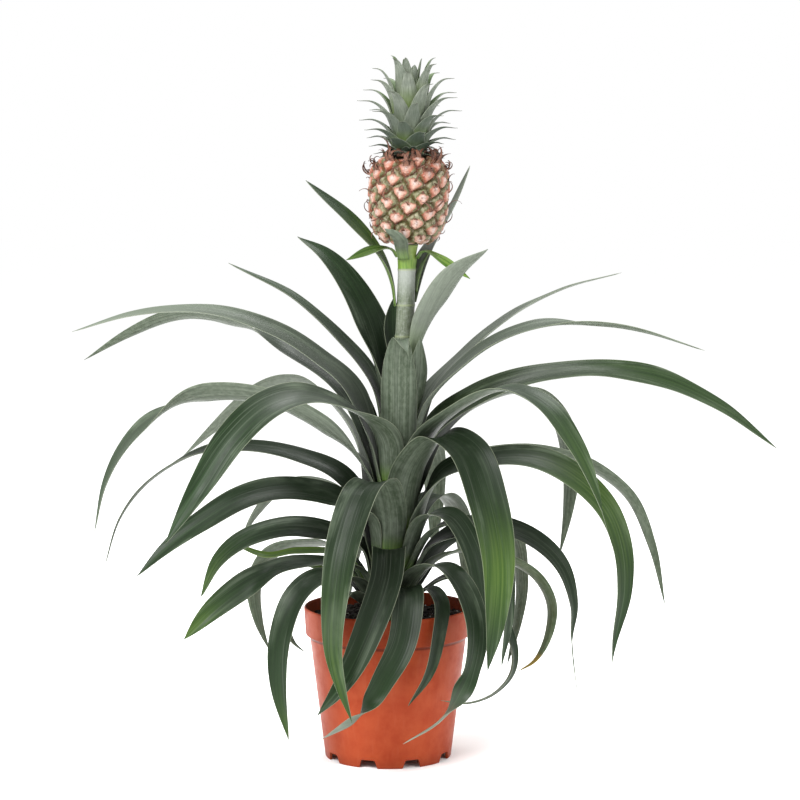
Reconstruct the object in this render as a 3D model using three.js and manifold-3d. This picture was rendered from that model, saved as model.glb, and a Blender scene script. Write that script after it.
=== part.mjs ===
// A potted pineapple plant: a young fruit with its crown on a leafy stem, in a plain nursery pot.
// Millimetres, +Z up. The origin is the middle of the pot's foot, on the surface it stands on.
// The front of the plant faces -Y. An azimuth is in degrees from the front towards the right (+X).

import * as THREE from 'three';
import { mergeVertices } from 'three/addons/utils/BufferGeometryUtils.js';
import { ConvexHull } from 'three/addons/math/ConvexHull.js';
import Module from 'manifold-3d';

const wasm = await Module();
wasm.setup();

// ---------------------------------------------------------------- driving dimensions

const GAP = 0.3;                    // clearance between pieces that touch

// pot: a moulded 12 cm nursery pot
const POT_HEIGHT = 108;
const POT_RIM_RADIUS = 60;
const POT_BASE_RADIUS = 45;
const POT_WALL = 1.5;
const COLLAR_HEIGHT = 22;           // the wide band under the rim
const COLLAR_STEP = 3;              // how far the collar stands out of the body
const COLLAR_TAPER = 1.2;
const COLLAR_FOOT = POT_HEIGHT - COLLAR_HEIGHT;
const COLLAR_SLOPE = 2.2;           // height over which the body passes out to the collar
const COLLAR_SLOPE_INSIDE = 2;
const RIM_EDGE = 0.6;               // height of the rim's slanted edge
const FLOOR_UNDERSIDE = 7;          // the floor is raised off the surface
const FLOOR_CORNER = [2, 4];        // slanted corner between floor and wall: width, height
const FOOT_SPREAD = 0.2;            // the foot ring is this much thicker at its bottom
const BOSS_RADIUS = 10;             // the flat middle of the floor, which reaches the surface
const NOTCH_COUNT = 9;              // drainage notches through the foot ring
const NOTCH_HEIGHT = 6;
const NOTCH_WIDTH_BOTTOM = 14;
const NOTCH_WIDTH_TOP = 10.5;
const NOTCH_FIRST_AZIMUTH = -58;
const POT_SIDES = 45;

// soil
const SOIL_TOP = 99;
const SOIL_LUMP = 1.6;
const SOIL_SIDES = 30;
const SOIL_RINGS = [50, 41, 32, 23];            // radii of its rings of points
const SOIL_DIP = [1, 3];            // slanted edge of the stem's hole: width, depth
const STEM_HOLE_FLOOR = 70;

// stem: the short leafy stem and, above it, the bare stalk that carries the fruit
const STEM_TOP = 364.5;
const STEM_PROFILE = [[70.3, 11], [90, 12.6], [112, 12.6], [150, 12], [200, 10.4], [250, 8.4],
  [292, 6.8], [318, 6.4], [347, 6.2], [355, 6.9], [358, 6.3], [STEM_TOP, 7.4]];
const STEM_SIDES = 16;
const LEAN = 16;                    // the stem bends this far to the right by its top
const LEAN_START = 95;
const LEAN_LENGTH = 430;

// leaves
const LEAF_THICKNESS = 1.2;         // along the middle of a leaf
const LEAF_EDGE = 0.7;              // at its margins
const LEAF_CELLS = 3;               // strips across a leaf
const LEAF_CHANNEL = 28;            // half angle of the gutter that a leaf is bent into, in degrees
const LEAF_WRAP = 70;               // most that its root wraps the stem to each side, in degrees
const LEAF_FLARE = 34;              // length over which the root's width passes to the blade's
const LEAF_TURN = [22, 72];         // lengths between which a blade turns its face, from its root
const LEAF_THINS_FROM = 0.6;        // share of the length after which a leaf thins to its edge
const LEAF_TIP = 0.7;               // half width that is left at the tip
const LEAF_TAPER = 4.5;             // how late a blade narrows to its tip
const LEAF_SEAT = 0.68;             // clearance of a leaning root from the stem
const LEAF_STEP_TURN = 17;          // a leaf has a new row of points after this many degrees
const LEAF_STEP_LENGTH = 46;        // or after this length
const LEAF_TWIST_SPAN = 0.2;        // share of the length over which a leaf turns over

// fruit
const EYE_GROOVE = 1.3;             // depth of the borders between the eyes
const FRUIT_BOTTOM = STEM_TOP + GAP - EYE_GROOVE;
const FRUIT_EYES = 88;
// its outline without the eyes, as [radius, height above its bottom]
const FRUIT_OUTLINE = [[0, 0], [8, 0.4], [15, 3], [21.4, 9], [24.8, 18], [26.6, 30], [27, 42],
  [26.4, 50], [23.8, 56.5], [18.6, 60.8], [9.5, 62.4], [0, 62.4]];
const FRUIT_HEIGHT = 62.4;
const EYE_RISE = 1.1;               // height of an eye's shoulder
const EYE_SHOULDER = 0.66;          // its size, as a share of the eye
const EYE_NECK = 0.26;              // size of the foot of the bract in the middle of an eye
const NECK_RISE = 1;                // height of that foot
const NECK_SHIFT = 0.03;            // the foot and the bract's tip lie this far above the middle,
const TIP_SHIFT = 0.1;              // on the unit sphere
const HIGH_EYES = [0.45, 0.95];     // shares of the height between which the bracts curl more
const BRACT_REACH = 3.4;            // how far that bract stands out of the fruit
const BRACT_CURL = [1.4, 4.5];      // and how far it curls upwards, low and high on the fruit
const POLE_RADIUS = 13;             // inside this the fruit is plain, at its stalk and under its crown
const BRACT_RADIUS = 17;            // inside this its eyes have no bracts
const POLE_FADE = 4;

// crown
const CROWN_BOTTOM = FRUIT_BOTTOM + FRUIT_HEIGHT - EYE_GROOVE + 2 * GAP;
const CROWN_HEIGHT = 73;
const CROWN_LEAVES = 42;
const CROWN_CORE = [[0, 0], [9, 0], [12.5, 4], [13, 30], [8, 46], [0, 54]];  // [radius, height]
// along the row of its leaves, from the lowest at 0 to the highest at 1: distance of their tips
// from the axis, rise above their roots, and width
const CROWN_REACH = [[0, 26], [0.15, 34], [0.6, 38], [0.85, 29], [1, 16]];
const CROWN_RISE = [[0, 7], [0.1, 9.5], [0.2, 14], [0.4, 24], [0.55, 33], [1, 33]];
const CROWN_WIDTH = [[0, 17], [0.2, 19], [1, 17]];
const CROWN_LOWEST_TIP = 7.8;
const CROWN_CROWDING = 1.12;        // over 1 sets the leaves closer together low on the crown
const CROWN_ROOT_DEPTH = 1.9;       // how deep a leaf starts inside the core
const CROWN_STAND = [3, 0.92];      // where it bends out: distance from its root, share of its rise
const CROWN_TAPER = 1.5;
const CROWN_TIP = 0.5;              // half width that is left at the tip
const CROWN_CUP = 0.35;             // depth of its hollow, as a share of its half width
const CROWN_THICKNESS = [1.6, 0.9];             // at its root and at its tip
const CROWN_SIDES = 12;
const CROWN_SEGMENTS = 4;
const CROWN_FINENESS = 0.15;        // smaller details of the joined crown are left out

const GOLDEN_ANGLE = Math.PI * (3 - Math.sqrt(5));

// ---------------------------------------------------------------- small helpers

const radians = (degrees) => degrees * Math.PI / 180;
const clamp = (value, low, high) => Math.min(Math.max(value, low), high);
const mix = (a, b, t) => a + (b - a) * t;

function smooth(t) {
  const x = clamp(t, 0, 1);
  return x * x * (3 - 2 * x);
}

// value at x on the straight pieces between [x, value] points
function along(points, x) {
  for (let i = 1; i < points.length; i++) {
    const [x0, y0] = points[i - 1];
    const [x1, y1] = points[i];
    if (x <= x1) {
      return mix(y0, y1, clamp((x - x0) / (x1 - x0), 0, 1));
    }
  }
  return points[points.length - 1][1];
}

// how far the stem's middle has bent to the right at a height
function leanAt(z) {
  const t = clamp((z - LEAN_START) / LEAN_LENGTH, 0, 1);
  return LEAN * (1 - (1 - t) ** 2);
}

const stemRadiusAt = (z) => along(STEM_PROFILE, z);

function outward(azimuth) {
  return new THREE.Vector3(Math.sin(radians(azimuth)), -Math.cos(radians(azimuth)), 0);
}

function sideways(azimuth) {
  return new THREE.Vector3(Math.cos(radians(azimuth)), Math.sin(radians(azimuth)), 0);
}

// a geometry from a list of Vector3 and a flat list of triangle corners
function meshGeometry(vertices, triangles) {
  const geometry = new THREE.BufferGeometry();
  const positions = new Float32Array(vertices.length * 3);
  vertices.forEach((v, i) => v.toArray(positions, i * 3));
  geometry.setAttribute('position', new THREE.BufferAttribute(positions, 3));
  geometry.setIndex(triangles);
  return geometry;
}

// A solid skin over rings of equal length that starts and ends in a ring of one point. The rings
// run counter-clockwise seen from the last one.
function skin(rings) {
  const vertices = rings.flat();
  const starts = [];
  let count = 0;
  for (const ring of rings) {
    starts.push(count);
    count += ring.length;
  }
  const triangles = [];
  for (let i = 1; i < rings.length; i++) {
    const n = rings[i - 1].length;
    const m = rings[i].length;
    const sides = Math.max(n, m);
    for (let j = 0; j < sides; j++) {
      const k = (j + 1) % sides;
      const a = starts[i - 1] + (n === 1 ? 0 : j);
      const b = starts[i - 1] + (n === 1 ? 0 : k);
      const c = starts[i] + (m === 1 ? 0 : k);
      const d = starts[i] + (m === 1 ? 0 : j);
      if (a !== b) {
        triangles.push(a, b, c);
      }
      if (c !== d) {
        triangles.push(a, c, d);
      }
    }
  }
  return meshGeometry(vertices, triangles);
}

// points evenly around a level circle
function circle(middle, radius, sides) {
  return Array.from({ length: sides }, (_, i) => {
    const angle = 2 * Math.PI * i / sides;
    return new THREE.Vector3(radius * Math.cos(angle), radius * Math.sin(angle), 0).add(middle);
  });
}

function toManifold(geometry) {
  let shape = geometry.clone();
  shape.deleteAttribute('normal');
  shape.deleteAttribute('uv');
  shape = mergeVertices(shape, 1e-4);
  return new wasm.Manifold(new wasm.Mesh({
    numProp: 3,
    vertProperties: new Float32Array(shape.attributes.position.array),
    triVerts: new Uint32Array(shape.index.array),
  }));
}

function fromManifold(solid) {
  const mesh = solid.getMesh();
  const geometry = new THREE.BufferGeometry();
  geometry.setAttribute('position', new THREE.BufferAttribute(mesh.vertProperties, mesh.numProp));
  geometry.setIndex(Array.from(mesh.triVerts));
  return geometry;
}

function finish(color, roughness, metalness = 0) {
  return new THREE.MeshStandardMaterial({ color, roughness, metalness });
}

const plant = new THREE.Group();

function addPiece(name, geometry, material) {
  const mesh = new THREE.Mesh(geometry, material);
  mesh.name = name;
  plant.add(mesh);
}

// ---------------------------------------------------------------- pot

// outer radius of the pot's body under the collar
function potBodyRadius(z) {
  const top = POT_RIM_RADIUS - COLLAR_TAPER - COLLAR_STEP;
  return mix(POT_BASE_RADIUS, top, z / COLLAR_FOOT);
}

// the pot's inner wall as [radius, z], from the rim down to the floor
function potInside() {
  const collarInner = POT_RIM_RADIUS - POT_WALL;
  const slopeFoot = COLLAR_FOOT - COLLAR_SLOPE_INSIDE;
  const cornerTop = FLOOR_UNDERSIDE + FLOOR_CORNER[1];
  return [
    [collarInner, POT_HEIGHT - RIM_EDGE],
    [collarInner - COLLAR_TAPER, COLLAR_FOOT + COLLAR_SLOPE_INSIDE],
    [potBodyRadius(slopeFoot) - POT_WALL, slopeFoot],
    [potBodyRadius(cornerTop) - POT_WALL, cornerTop],
    [potBodyRadius(FLOOR_UNDERSIDE) - POT_WALL - FLOOR_CORNER[0], FLOOR_UNDERSIDE + POT_WALL],
  ];
}

function makePot() {
  const profile = [
    [0, 0],
    [BOSS_RADIUS, 0],
    [BOSS_RADIUS, FLOOR_UNDERSIDE],
    [POT_BASE_RADIUS - POT_WALL, FLOOR_UNDERSIDE],
    [POT_BASE_RADIUS - POT_WALL - FOOT_SPREAD, 0],
    [POT_BASE_RADIUS, 0],
    [potBodyRadius(COLLAR_FOOT), COLLAR_FOOT],
    [POT_RIM_RADIUS - COLLAR_TAPER, COLLAR_FOOT + COLLAR_SLOPE],
    [POT_RIM_RADIUS, POT_HEIGHT - RIM_EDGE],
    [POT_RIM_RADIUS - POT_WALL / 2, POT_HEIGHT],
    ...potInside(),
    [0, FLOOR_UNDERSIDE + POT_WALL],
  ];
  const body = latheAboutZ(profile, POT_SIDES);
  let pot = toManifold(body);
  for (let i = 0; i < NOTCH_COUNT; i++) {
    const azimuth = NOTCH_FIRST_AZIMUTH + i * 360 / NOTCH_COUNT;
    pot = pot.subtract(toManifold(notchCutter(azimuth)));
  }
  addPiece('pot', fromManifold(pot), finish('#c2583a', 0.5));
}

// a closed body of revolution from [radius, z] points that start and end on the axis
function latheAboutZ(profile, sides) {
  return skin(profile.map(([radius, z]) => {
    const middle = new THREE.Vector3(0, 0, z);
    return radius === 0 ? [middle] : circle(middle, radius, sides);
  }));
}

// a wedge that is wider at the bottom and reaches through the foot ring
function notchCutter(azimuth) {
  const outline = new THREE.Shape();
  const below = -1;
  outline.moveTo(-NOTCH_WIDTH_BOTTOM / 2, below);
  outline.lineTo(NOTCH_WIDTH_BOTTOM / 2, below);
  outline.lineTo(NOTCH_WIDTH_TOP / 2, NOTCH_HEIGHT);
  outline.lineTo(-NOTCH_WIDTH_TOP / 2, NOTCH_HEIGHT);
  outline.closePath();
  const reach = 8;
  const geometry = new THREE.ExtrudeGeometry(outline, { depth: 2 * reach, bevelEnabled: false });
  const out = outward(azimuth);
  const frame = new THREE.Matrix4().makeBasis(sideways(azimuth), new THREE.Vector3(0, 0, 1), out);
  frame.setPosition(out.clone().multiplyScalar(POT_BASE_RADIUS - reach));
  return geometry.applyMatrix4(frame);
}

// ---------------------------------------------------------------- soil

// gentle lumps of the soil's surface
function lump(x, y) {
  const waves = Math.sin(x * 0.21 + 1.3) * Math.cos(y * 0.19 - 0.4)
    + 0.6 * Math.sin(x * 0.43 - y * 0.37 + 2.1) + 0.4 * Math.cos(x * 0.11 + y * 0.51);
  return SOIL_LUMP * waves / 2;
}

function makeSoil() {
  const inside = potInside();
  const wall = inside.slice(1).reverse().map(([radius, z]) => [radius - GAP, z]);
  const bottom = FLOOR_UNDERSIDE + POT_WALL + GAP;
  wall[0][1] = bottom;
  const edge = along([[inside[1][1], inside[1][0]], [inside[0][1], inside[0][0]]], SOIL_TOP) - GAP;
  const hole = stemRadiusAt(SOIL_TOP) + 2 * GAP;
  const radiiOfTop = [edge, ...SOIL_RINGS, hole + SOIL_DIP[0]];
  const profile = [[0, bottom], ...wall, ...radiiOfTop.map((radius) => [radius, SOIL_TOP]),
    [hole, SOIL_TOP - SOIL_DIP[1]], [hole, STEM_HOLE_FLOOR], [0, STEM_HOLE_FLOOR]];
  const soil = latheAboutZ(profile, SOIL_SIDES);
  const position = soil.attributes.position;
  for (let i = 0; i < position.count; i++) {
    if (position.getZ(i) === SOIL_TOP) {
      position.setZ(i, SOIL_TOP + lump(position.getX(i), position.getY(i)));
    }
  }
  addPiece('soil', soil, finish('#2b2320', 0.95));
}

// ---------------------------------------------------------------- stem

function makeStem() {
  const middleAt = (z) => new THREE.Vector3(leanAt(z), 0, z);
  const rings = STEM_PROFILE.map(([z, radius]) => circle(middleAt(z), radius, STEM_SIDES));
  rings.unshift([middleAt(STEM_PROFILE[0][0])]);
  rings.push([middleAt(STEM_TOP)]);
  addPiece('stem', skin(rings), finish('#7f9a6a', 0.6));
}

// ---------------------------------------------------------------- leaves

// One row a leaf: its name, azimuth, width, height of its root on the stem, and the points that
// its middle line passes, as [out from the stem's middle, height, sideways to the right]. Options:
// root = width at the root, face = degrees that the blade turns its upper face to the front,
// tipFace = the same towards the tip, turnAt = where along it that change is, from 0 to 1,
// taper = how late the blade narrows, thread = where it has narrowed to a thread, from 0 to 1.
const LEAVES = [
  // around the fruit stalk
  ['leaf_upper_1', -92, 16, 321, [[11, 338, -1.5], [20, 358, -5], [41, 382, -10], [74, 410, -17]],
    { root: 9, face: 34 }],
  ['leaf_upper_2', 138, 16, 324, [[16, 352], [34, 375], [53, 400], [66, 421]],
    { root: 8, face: -25 }],
  ['leaf_upper_3', 60, 26, 282, [[14, 302], [22, 322], [37, 344], [64, 362]],
    { root: 14, face: -30, taper: 3 }],
  ['leaf_upper_4', -110, 32, 244, [[16, 268], [20, 293], [39, 332], [62, 357], [84, 370]],
    { face: 34, root: 24, taper: 3 }],
  ['leaf_upper_5', -150, 22, 272, [[12, 290], [16, 308], [18, 326]], { root: 12, taper: 4 }],
  ['leaf_upper_6', -8, 31, 205, [[13.5, 230], [16, 250], [20, 267], [24, 284], [29, 296, 1],
    [34, 300, 3], [38.5, 296, 6], [41, 286, 10]], { root: 24, taper: 3.5, thread: 0.96 }],
  ['leaf_upper_7', 38, 24, 240, [[15, 258], [18, 278], [18, 300]], { taper: 3, root: 20 }],
  // left side, from the top down
  ['leaf_left_1', -105, 20, 212, [[21, 268], [48, 299], [82, 327], [133, 351]],
    { face: 12, root: 14, taper: 3 }],
  ['leaf_left_2', -100, 24, 192, [[34, 260], [63, 286], [104, 308], [150, 318], [201, 314],
    [245, 301]], { face: 24, root: 20, taper: 2.6 }],
  ['leaf_left_3', -120, 24, 184, [[39, 254], [87, 286], [145, 307], [195, 311], [241, 296],
    [284, 274]], { face: 25, tipFace: -38, turnAt: 0.5, root: 20, taper: 3 }],
  ['leaf_left_4', -100, 24, 180, [[22, 203], [45, 228], [71, 244], [102, 256], [150, 256],
    [177, 243], [200, 222], [216, 190], [222, 155]],
    { face: -40, tipFace: 35, turnAt: 0.62, root: 20 }],
  ['leaf_left_5', -139, 24, 156, [[49, 227], [99, 258], [127, 260], [166, 251], [194, 236],
    [262, 193]], { face: -34, root: 17, taper: 2.6 }],
  ['leaf_left_6', -38, 29, 197, [[19, 232, -2], [41, 252, -14], [74, 262, -27], [101, 256, -37],
    [127, 234, -46], [148, 202, -54], [170, 166, -62]], { face: 27, root: 24 }],
  ['leaf_left_7', -112, 20, 136, [[37, 194], [77, 212], [121, 217], [158, 212], [198, 189],
    [222, 159], [233, 121]], { face: 25, tipFace: 10, root: 17, taper: 2.6 }],
  ['leaf_left_8', -70, 25, 141, [[23, 176], [54, 190], [87, 195], [116, 189], [143, 174],
    [167, 157], [186, 139]], { face: 38, root: 18 }],
  ['leaf_left_9', -130, 18, 127, [[20, 150], [44, 183], [84, 190], [113, 183], [137, 161],
    [151, 140]], { face: -30, root: 14, taper: 3 }],
  ['leaf_left_10', -98, 22, 121, [[24, 151], [50, 160], [79, 162], [108, 153], [127, 136],
    [138, 110]], { face: 38, root: 16, taper: 8 }],
  ['leaf_left_11', -106, 9, 111, [[35, 141], [72, 144], [96, 140], [127, 150]],
    { face: 30, root: 8 }],
  ['leaf_left_12', -70, 21, 117, [[25, 135], [55, 142], [81, 141], [106, 130], [130, 113],
    [150, 93]], { face: 18, tipFace: 62, root: 15, taper: 7 }],
  ['leaf_left_13', -86, 8, 103, [[31, 134], [50, 135], [70, 140]], { root: 7, face: 20 }],
  ['leaf_left_14', -130, 18, 106, [[51, 143], [90, 143], [121, 131], [133, 108], [128, 82],
    [117, 60]], { face: -25, root: 12 }],
  ['leaf_left_15', -48, 21, 107, [[35, 130], [67, 136], [88, 124], [99, 96], [100, 61],
    [92, 25]], { face: 18, root: 13 }],
  // front
  ['leaf_front_1', -20, 30, 147, [[19, 178], [39, 201], [69, 198, -1], [90, 163, -4],
    [101, 130, -3], [108, 95, 1], [111, 70, 8], [112, 48, 16]], { root: 24, taper: 2.8 }],
  ['leaf_front_2', -5, 24, 126, [[34, 153], [56, 136, 1], [81, 100, -8], [91, 69, -23],
    [96, 49, -39]], { root: 18 }],
  ['leaf_front_3', 2, 23, 111, [[22, 117, 1], [40, 127, 8], [60, 122, 10], [74, 94, 7],
    [81, 72, -5], [83, 49, -20], [82, 31, -47]], { tipFace: 150, turnAt: 0.8, root: 13, taper: 3 }],
  ['leaf_front_4', -32, 18, 103, [[56, 125, -3], [73, 114, 1], [77, 92, 2], [76, 69, 3]],
    { root: 12 }],
  ['leaf_front_5', 42, 14, 109, [[36, 124, 2], [56, 117, -3], [66, 94, -13], [67, 71, -23],
    [60, 50, -35]], { root: 10 }],
  ['leaf_front_6', 35, 20, 116, [[34, 137], [63, 144], [87, 129, 2], [100, 105, 3], [95, 70],
    [83, 42, -14], [70, 26, -36]], { tipFace: 145, turnAt: 0.76, root: 15, taper: 4 }],
  ['leaf_front_7', 50, 20, 136, [[27, 173], [49, 177], [69, 158], [82, 121], [81, 82], [75, 52]],
    { face: 15, root: 16 }],
  ['leaf_front_8', 68, 19, 133, [[30, 163], [50, 171], [68, 167], [84, 146], [90, 110],
    [86, 70]], { face: 15, root: 14 }],
  // right side, from the top down
  ['leaf_right_1', 24, 31, 163, [[20.5, 210, 2], [41.5, 233, 10], [70, 225, 20], [92, 193, 26],
    [106, 154, 30], [107, 113, 31], [102, 77, 29]], { face: 12, root: 24 }],
  ['leaf_right_2', 132, 20, 212, [[27, 260], [66, 290], [105, 312], [158, 330], [224, 341]],
    { face: -12, root: 16, taper: 2.6 }],
  ['leaf_right_3', 85, 22, 226, [[23, 259], [54, 291], [91, 308], [138, 309], [169, 304],
    [211, 291]], { face: 17, tipFace: -12, root: 17, taper: 2.6 }],
  ['leaf_right_4', 104, 26, 183, [[28, 234, 11], [56, 256, 7], [86, 268], [115, 273], [161, 273],
    [202, 264], [246, 243], [289, 213]], { face: 25, tipFace: 44, root: 17 }],
  ['leaf_right_5', 45, 26, 193, [[27, 231], [63, 257], [101, 269], [137, 258], [162, 235],
    [180, 210], [199, 172]], { face: 5, root: 22, thread: 0.92 }],
  ['leaf_right_6', 130, 24, 178, [[38, 229], [85, 252], [130, 253], [158, 231], [171, 200],
    [172, 161], [167, 127]], { face: -10, root: 20 }],
  ['leaf_right_7', 68, 26, 142, [[32, 203], [68, 216], [105, 217], [135, 203], [156, 184],
    [168, 158], [172, 129], [168, 94], [165, 60]], { face: 30, root: 17, thread: 0.94 }],
  ['leaf_right_8', 120, 15, 135, [[35, 204], [76, 215], [120, 213], [166, 199], [205, 173],
    [229, 134], [246, 85]], { face: -28, root: 15 }],
  ['leaf_right_9', 85, 21, 120, [[27, 151], [58, 166], [83, 164], [105, 153], [122, 135],
    [131, 110], [131, 85], [136, 39]], { face: 35, root: 15, thread: 0.82 }],
  ['leaf_right_10', 108, 17, 115.5, [[32, 138], [58, 145], [94, 134], [114, 120], [125, 101],
    [123, 79], [113, 61], [99, 53]], { face: -25, root: 12, taper: 3 }],
  ['leaf_right_11', 140, 18, 104, [[53, 143], [100, 151], [141, 143], [157, 106], [154, 75],
    [141, 42]], { root: 12 }],
  ['leaf_right_12', 85, 16, 110, [[41, 127, 8], [71, 117, 10], [83, 96, 7], [90, 77, -2],
    [88, 62, -16], [76, 51, -30], [58, 47, -41], [41, 50, -47]], { face: 20, root: 11, taper: 3 }],
  // back
  ['leaf_back_1', -128, 13, 101.5, [[38, 122], [66, 116], [88, 103], [96, 86], [90, 71],
    [78, 64]], { root: 12 }],
  ['leaf_back_2', 168, 24, 162, [[30, 198], [62, 218], [100, 218], [132, 196], [150, 160],
    [156, 120]], { root: 17 }],
  ['leaf_back_3', -165, 24, 109, [[30, 150], [60, 164], [96, 156], [122, 132], [134, 96],
    [134, 60]], { root: 16 }],
  ['leaf_back_4', 154, 22, 129, [[34, 170], [70, 180], [106, 164], [130, 126], [138, 84]],
    { root: 15 }],
  ['leaf_back_5', 178, 20, 107, [[38, 132], [70, 129], [94, 105], [104, 70], [106, 40]],
    { root: 12 }],
];

// Bracts under the fruit
const BRACTS = [
  ['bract_left', -76, 9, 356, [[12, 361.5], [26, 361], [44, 354]],
    { face: 80, turnAt: 0, root: 7, taper: 3 }],
  ['bract_right', 75, 9, 355, [[12, 360], [24, 355], [46, 341]],
    { face: 80, turnAt: 0, root: 7, taper: 3 }],
  ['bract_side', 112, 8, 331, [[9, 341], [12, 351], [17, 360]], { root: 7, taper: 3 }],
  ['bract_front', -20, 13, 354, [[12, 360], [28, 370, 3], [34, 376, -5]], { root: 9 }],
  ['bract_back', 170, 11, 355, [[13, 360.5], [30, 368]], { root: 9 }],
];

// the middle line of a leaf, as points in the plant's space
function leafLine(azimuth, rootHeight, points) {
  const out = outward(azimuth);
  const side = sideways(azimuth);
  const stemRadius = stemRadiusAt(rootHeight);
  const [firstOut, firstHeight] = points[0];
  const start = new THREE.Vector2(firstOut - stemRadius, firstHeight - rootHeight).normalize();
  const rootOut = stemRadius + LEAF_SEAT + LEAF_THICKNESS / 2 * start.y;
  const places = [[rootOut, rootHeight], ...points].map(([distance, height, sideStep = 0]) => {
    const place = new THREE.Vector3(leanAt(height), 0, height);
    return place.addScaledVector(out, distance).addScaledVector(side, sideStep);
  });
  return new THREE.CatmullRomCurve3(places, false, 'centripetal');
}

// places along a curve, from 0 to 1, closer together where it turns
function stationsOf(curve, degreesPerStep, longestStep) {
  const steps = 120;
  const length = curve.getLength();
  const stations = [0];
  let last = curve.getTangentAt(0);
  let turn = 0;
  let run = 0;
  for (let i = 1; i <= steps; i++) {
    const tangent = curve.getTangentAt(i / steps);
    turn += last.angleTo(tangent) * 180 / Math.PI;
    run += length / steps;
    last = tangent;
    if (turn >= degreesPerStep || run >= longestStep) {
      stations.push(i / steps);
      turn = 0;
      run = 0;
    }
  }
  if (1 - stations[stations.length - 1] < 0.03) {
    stations.pop();
  }
  stations.push(1);
  return stations;
}

// full width of a leaf at t, from 0 at its root to 1 at its tip
function leafWidth(t, length, width, { root = width, taper = LEAF_TAPER, thread = 1 }) {
  const blade = mix(root, width, smooth(t * length / LEAF_FLARE));
  return Math.max(blade * (1 - Math.min(t / thread, 1) ** taper), 2 * LEAF_TIP);
}

function leafGeometry([, azimuth, width, rootHeight, points, options = {}]) {
  const { face = 0, tipFace = face, turnAt = 0.6 } = options;
  const towardsFront = radians(Math.sign(Math.sin(radians(azimuth))));
  const curve = leafLine(azimuth, rootHeight, points);
  const length = curve.getLength();
  const side = sideways(azimuth);
  const rings = [];
  for (const t of stationsOf(curve, LEAF_STEP_TURN, LEAF_STEP_LENGTH)) {
    const place = curve.getPointAt(t);
    const ahead = curve.getTangentAt(t);
    const across = side.clone().addScaledVector(ahead, -side.dot(ahead)).normalize();
    const turned = mix(face, tipFace, smooth((t - turnAt) / LEAF_TWIST_SPAN + 0.5));
    const open = smooth((t * length - LEAF_TURN[0]) / (LEAF_TURN[1] - LEAF_TURN[0]));
    across.applyAxisAngle(ahead, turned * towardsFront * open);
    const upper = new THREE.Vector3().crossVectors(ahead, across);
    const half = leafWidth(t, length, width, options) / 2;
    const fromStem = Math.hypot(place.x - leanAt(place.z), place.y);
    const bend = clamp(half / fromStem, radians(LEAF_CHANNEL), radians(LEAF_WRAP));
    const bendRadius = half / bend;
    const sink = bendRadius * (1 - Math.cos(bend)) * open / 2;
    const middle = mix(LEAF_THICKNESS, LEAF_EDGE, smooth((t - LEAF_THINS_FROM) / (1 - LEAF_THINS_FROM)));
    const top = [];
    const bottom = [];
    for (let j = 0; j <= LEAF_CELLS; j++) {
      const v = 2 * j / LEAF_CELLS - 1;
      const angle = bend * v;
      const thickness = mix(middle, LEAF_EDGE, v * v);
      const normal = upper.clone().multiplyScalar(Math.cos(angle))
        .addScaledVector(across, -Math.sin(angle));
      const onSkin = place.clone().addScaledVector(across, bendRadius * Math.sin(angle))
        .addScaledVector(upper, bendRadius * (1 - Math.cos(angle)) - sink);
      top.push(onSkin.clone().addScaledVector(normal, thickness / 2));
      bottom.push(onSkin.clone().addScaledVector(normal, -thickness / 2));
    }
    rings.push([top, bottom]);
  }
  return bladeSkin(rings);
}

// a thin closed body over pairs of rows, top and bottom, with both faces split alike
function bladeSkin(rings) {
  const cells = rings[0][0].length - 1;
  const perRing = 2 * (cells + 1);
  const vertices = rings.flatMap(([top, bottom]) => [...top, ...bottom]);
  const triangles = [];
  const topAt = (i, j) => i * perRing + j;
  const bottomAt = (i, j) => i * perRing + cells + 1 + j;
  const quad = (a, b, c, d) => triangles.push(a, c, b, a, d, c);
  for (let i = 0; i + 1 < rings.length; i++) {
    for (let j = 0; j < cells; j++) {
      quad(topAt(i, j), topAt(i, j + 1), topAt(i + 1, j + 1), topAt(i + 1, j));
      triangles.push(bottomAt(i, j), bottomAt(i, j + 1), bottomAt(i + 1, j + 1));
      triangles.push(bottomAt(i, j), bottomAt(i + 1, j + 1), bottomAt(i + 1, j));
    }
    quad(topAt(i, 0), topAt(i + 1, 0), bottomAt(i + 1, 0), bottomAt(i, 0));
    quad(topAt(i, cells), bottomAt(i, cells), bottomAt(i + 1, cells), topAt(i + 1, cells));
  }
  const last = rings.length - 1;
  for (let j = 0; j < cells; j++) {
    quad(topAt(0, j), bottomAt(0, j), bottomAt(0, j + 1), topAt(0, j + 1));
    quad(topAt(last, j), topAt(last, j + 1), bottomAt(last, j + 1), bottomAt(last, j));
  }
  return meshGeometry(vertices, triangles);
}

function makeLeaves() {
  for (const row of LEAVES) {
    addPiece(row[0], leafGeometry(row), finish('#48603f', 0.55));
  }
  for (const row of BRACTS) {
    addPiece(row[0], leafGeometry(row), finish('#5d7a44', 0.55));
  }
}

// ---------------------------------------------------------------- fruit

// The fruit's outline walked in small steps: distance walked, radius, height, skin area so far,
// and the flattened height q at which its surface becomes a sphere's without changing angles.
function walkOutline() {
  const points = FRUIT_OUTLINE.map(([r, z]) => new THREE.Vector2(r, z));
  const curve = new THREE.SplineCurve(points);
  const steps = 600;
  const walk = [];
  let area = 0;
  let q = 0;
  let previous = curve.getPoint(0);
  for (let i = 0; i <= steps; i++) {
    const point = curve.getPoint(i / steps);
    const step = point.distanceTo(previous);
    const radius = Math.max((point.x + previous.x) / 2, 0.05);
    area += 2 * Math.PI * radius * step;
    q += step / radius;
    walk.push({ radius: Math.max(point.x, 0), z: point.y, area, q });
    previous = point;
  }
  return walk;
}

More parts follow.
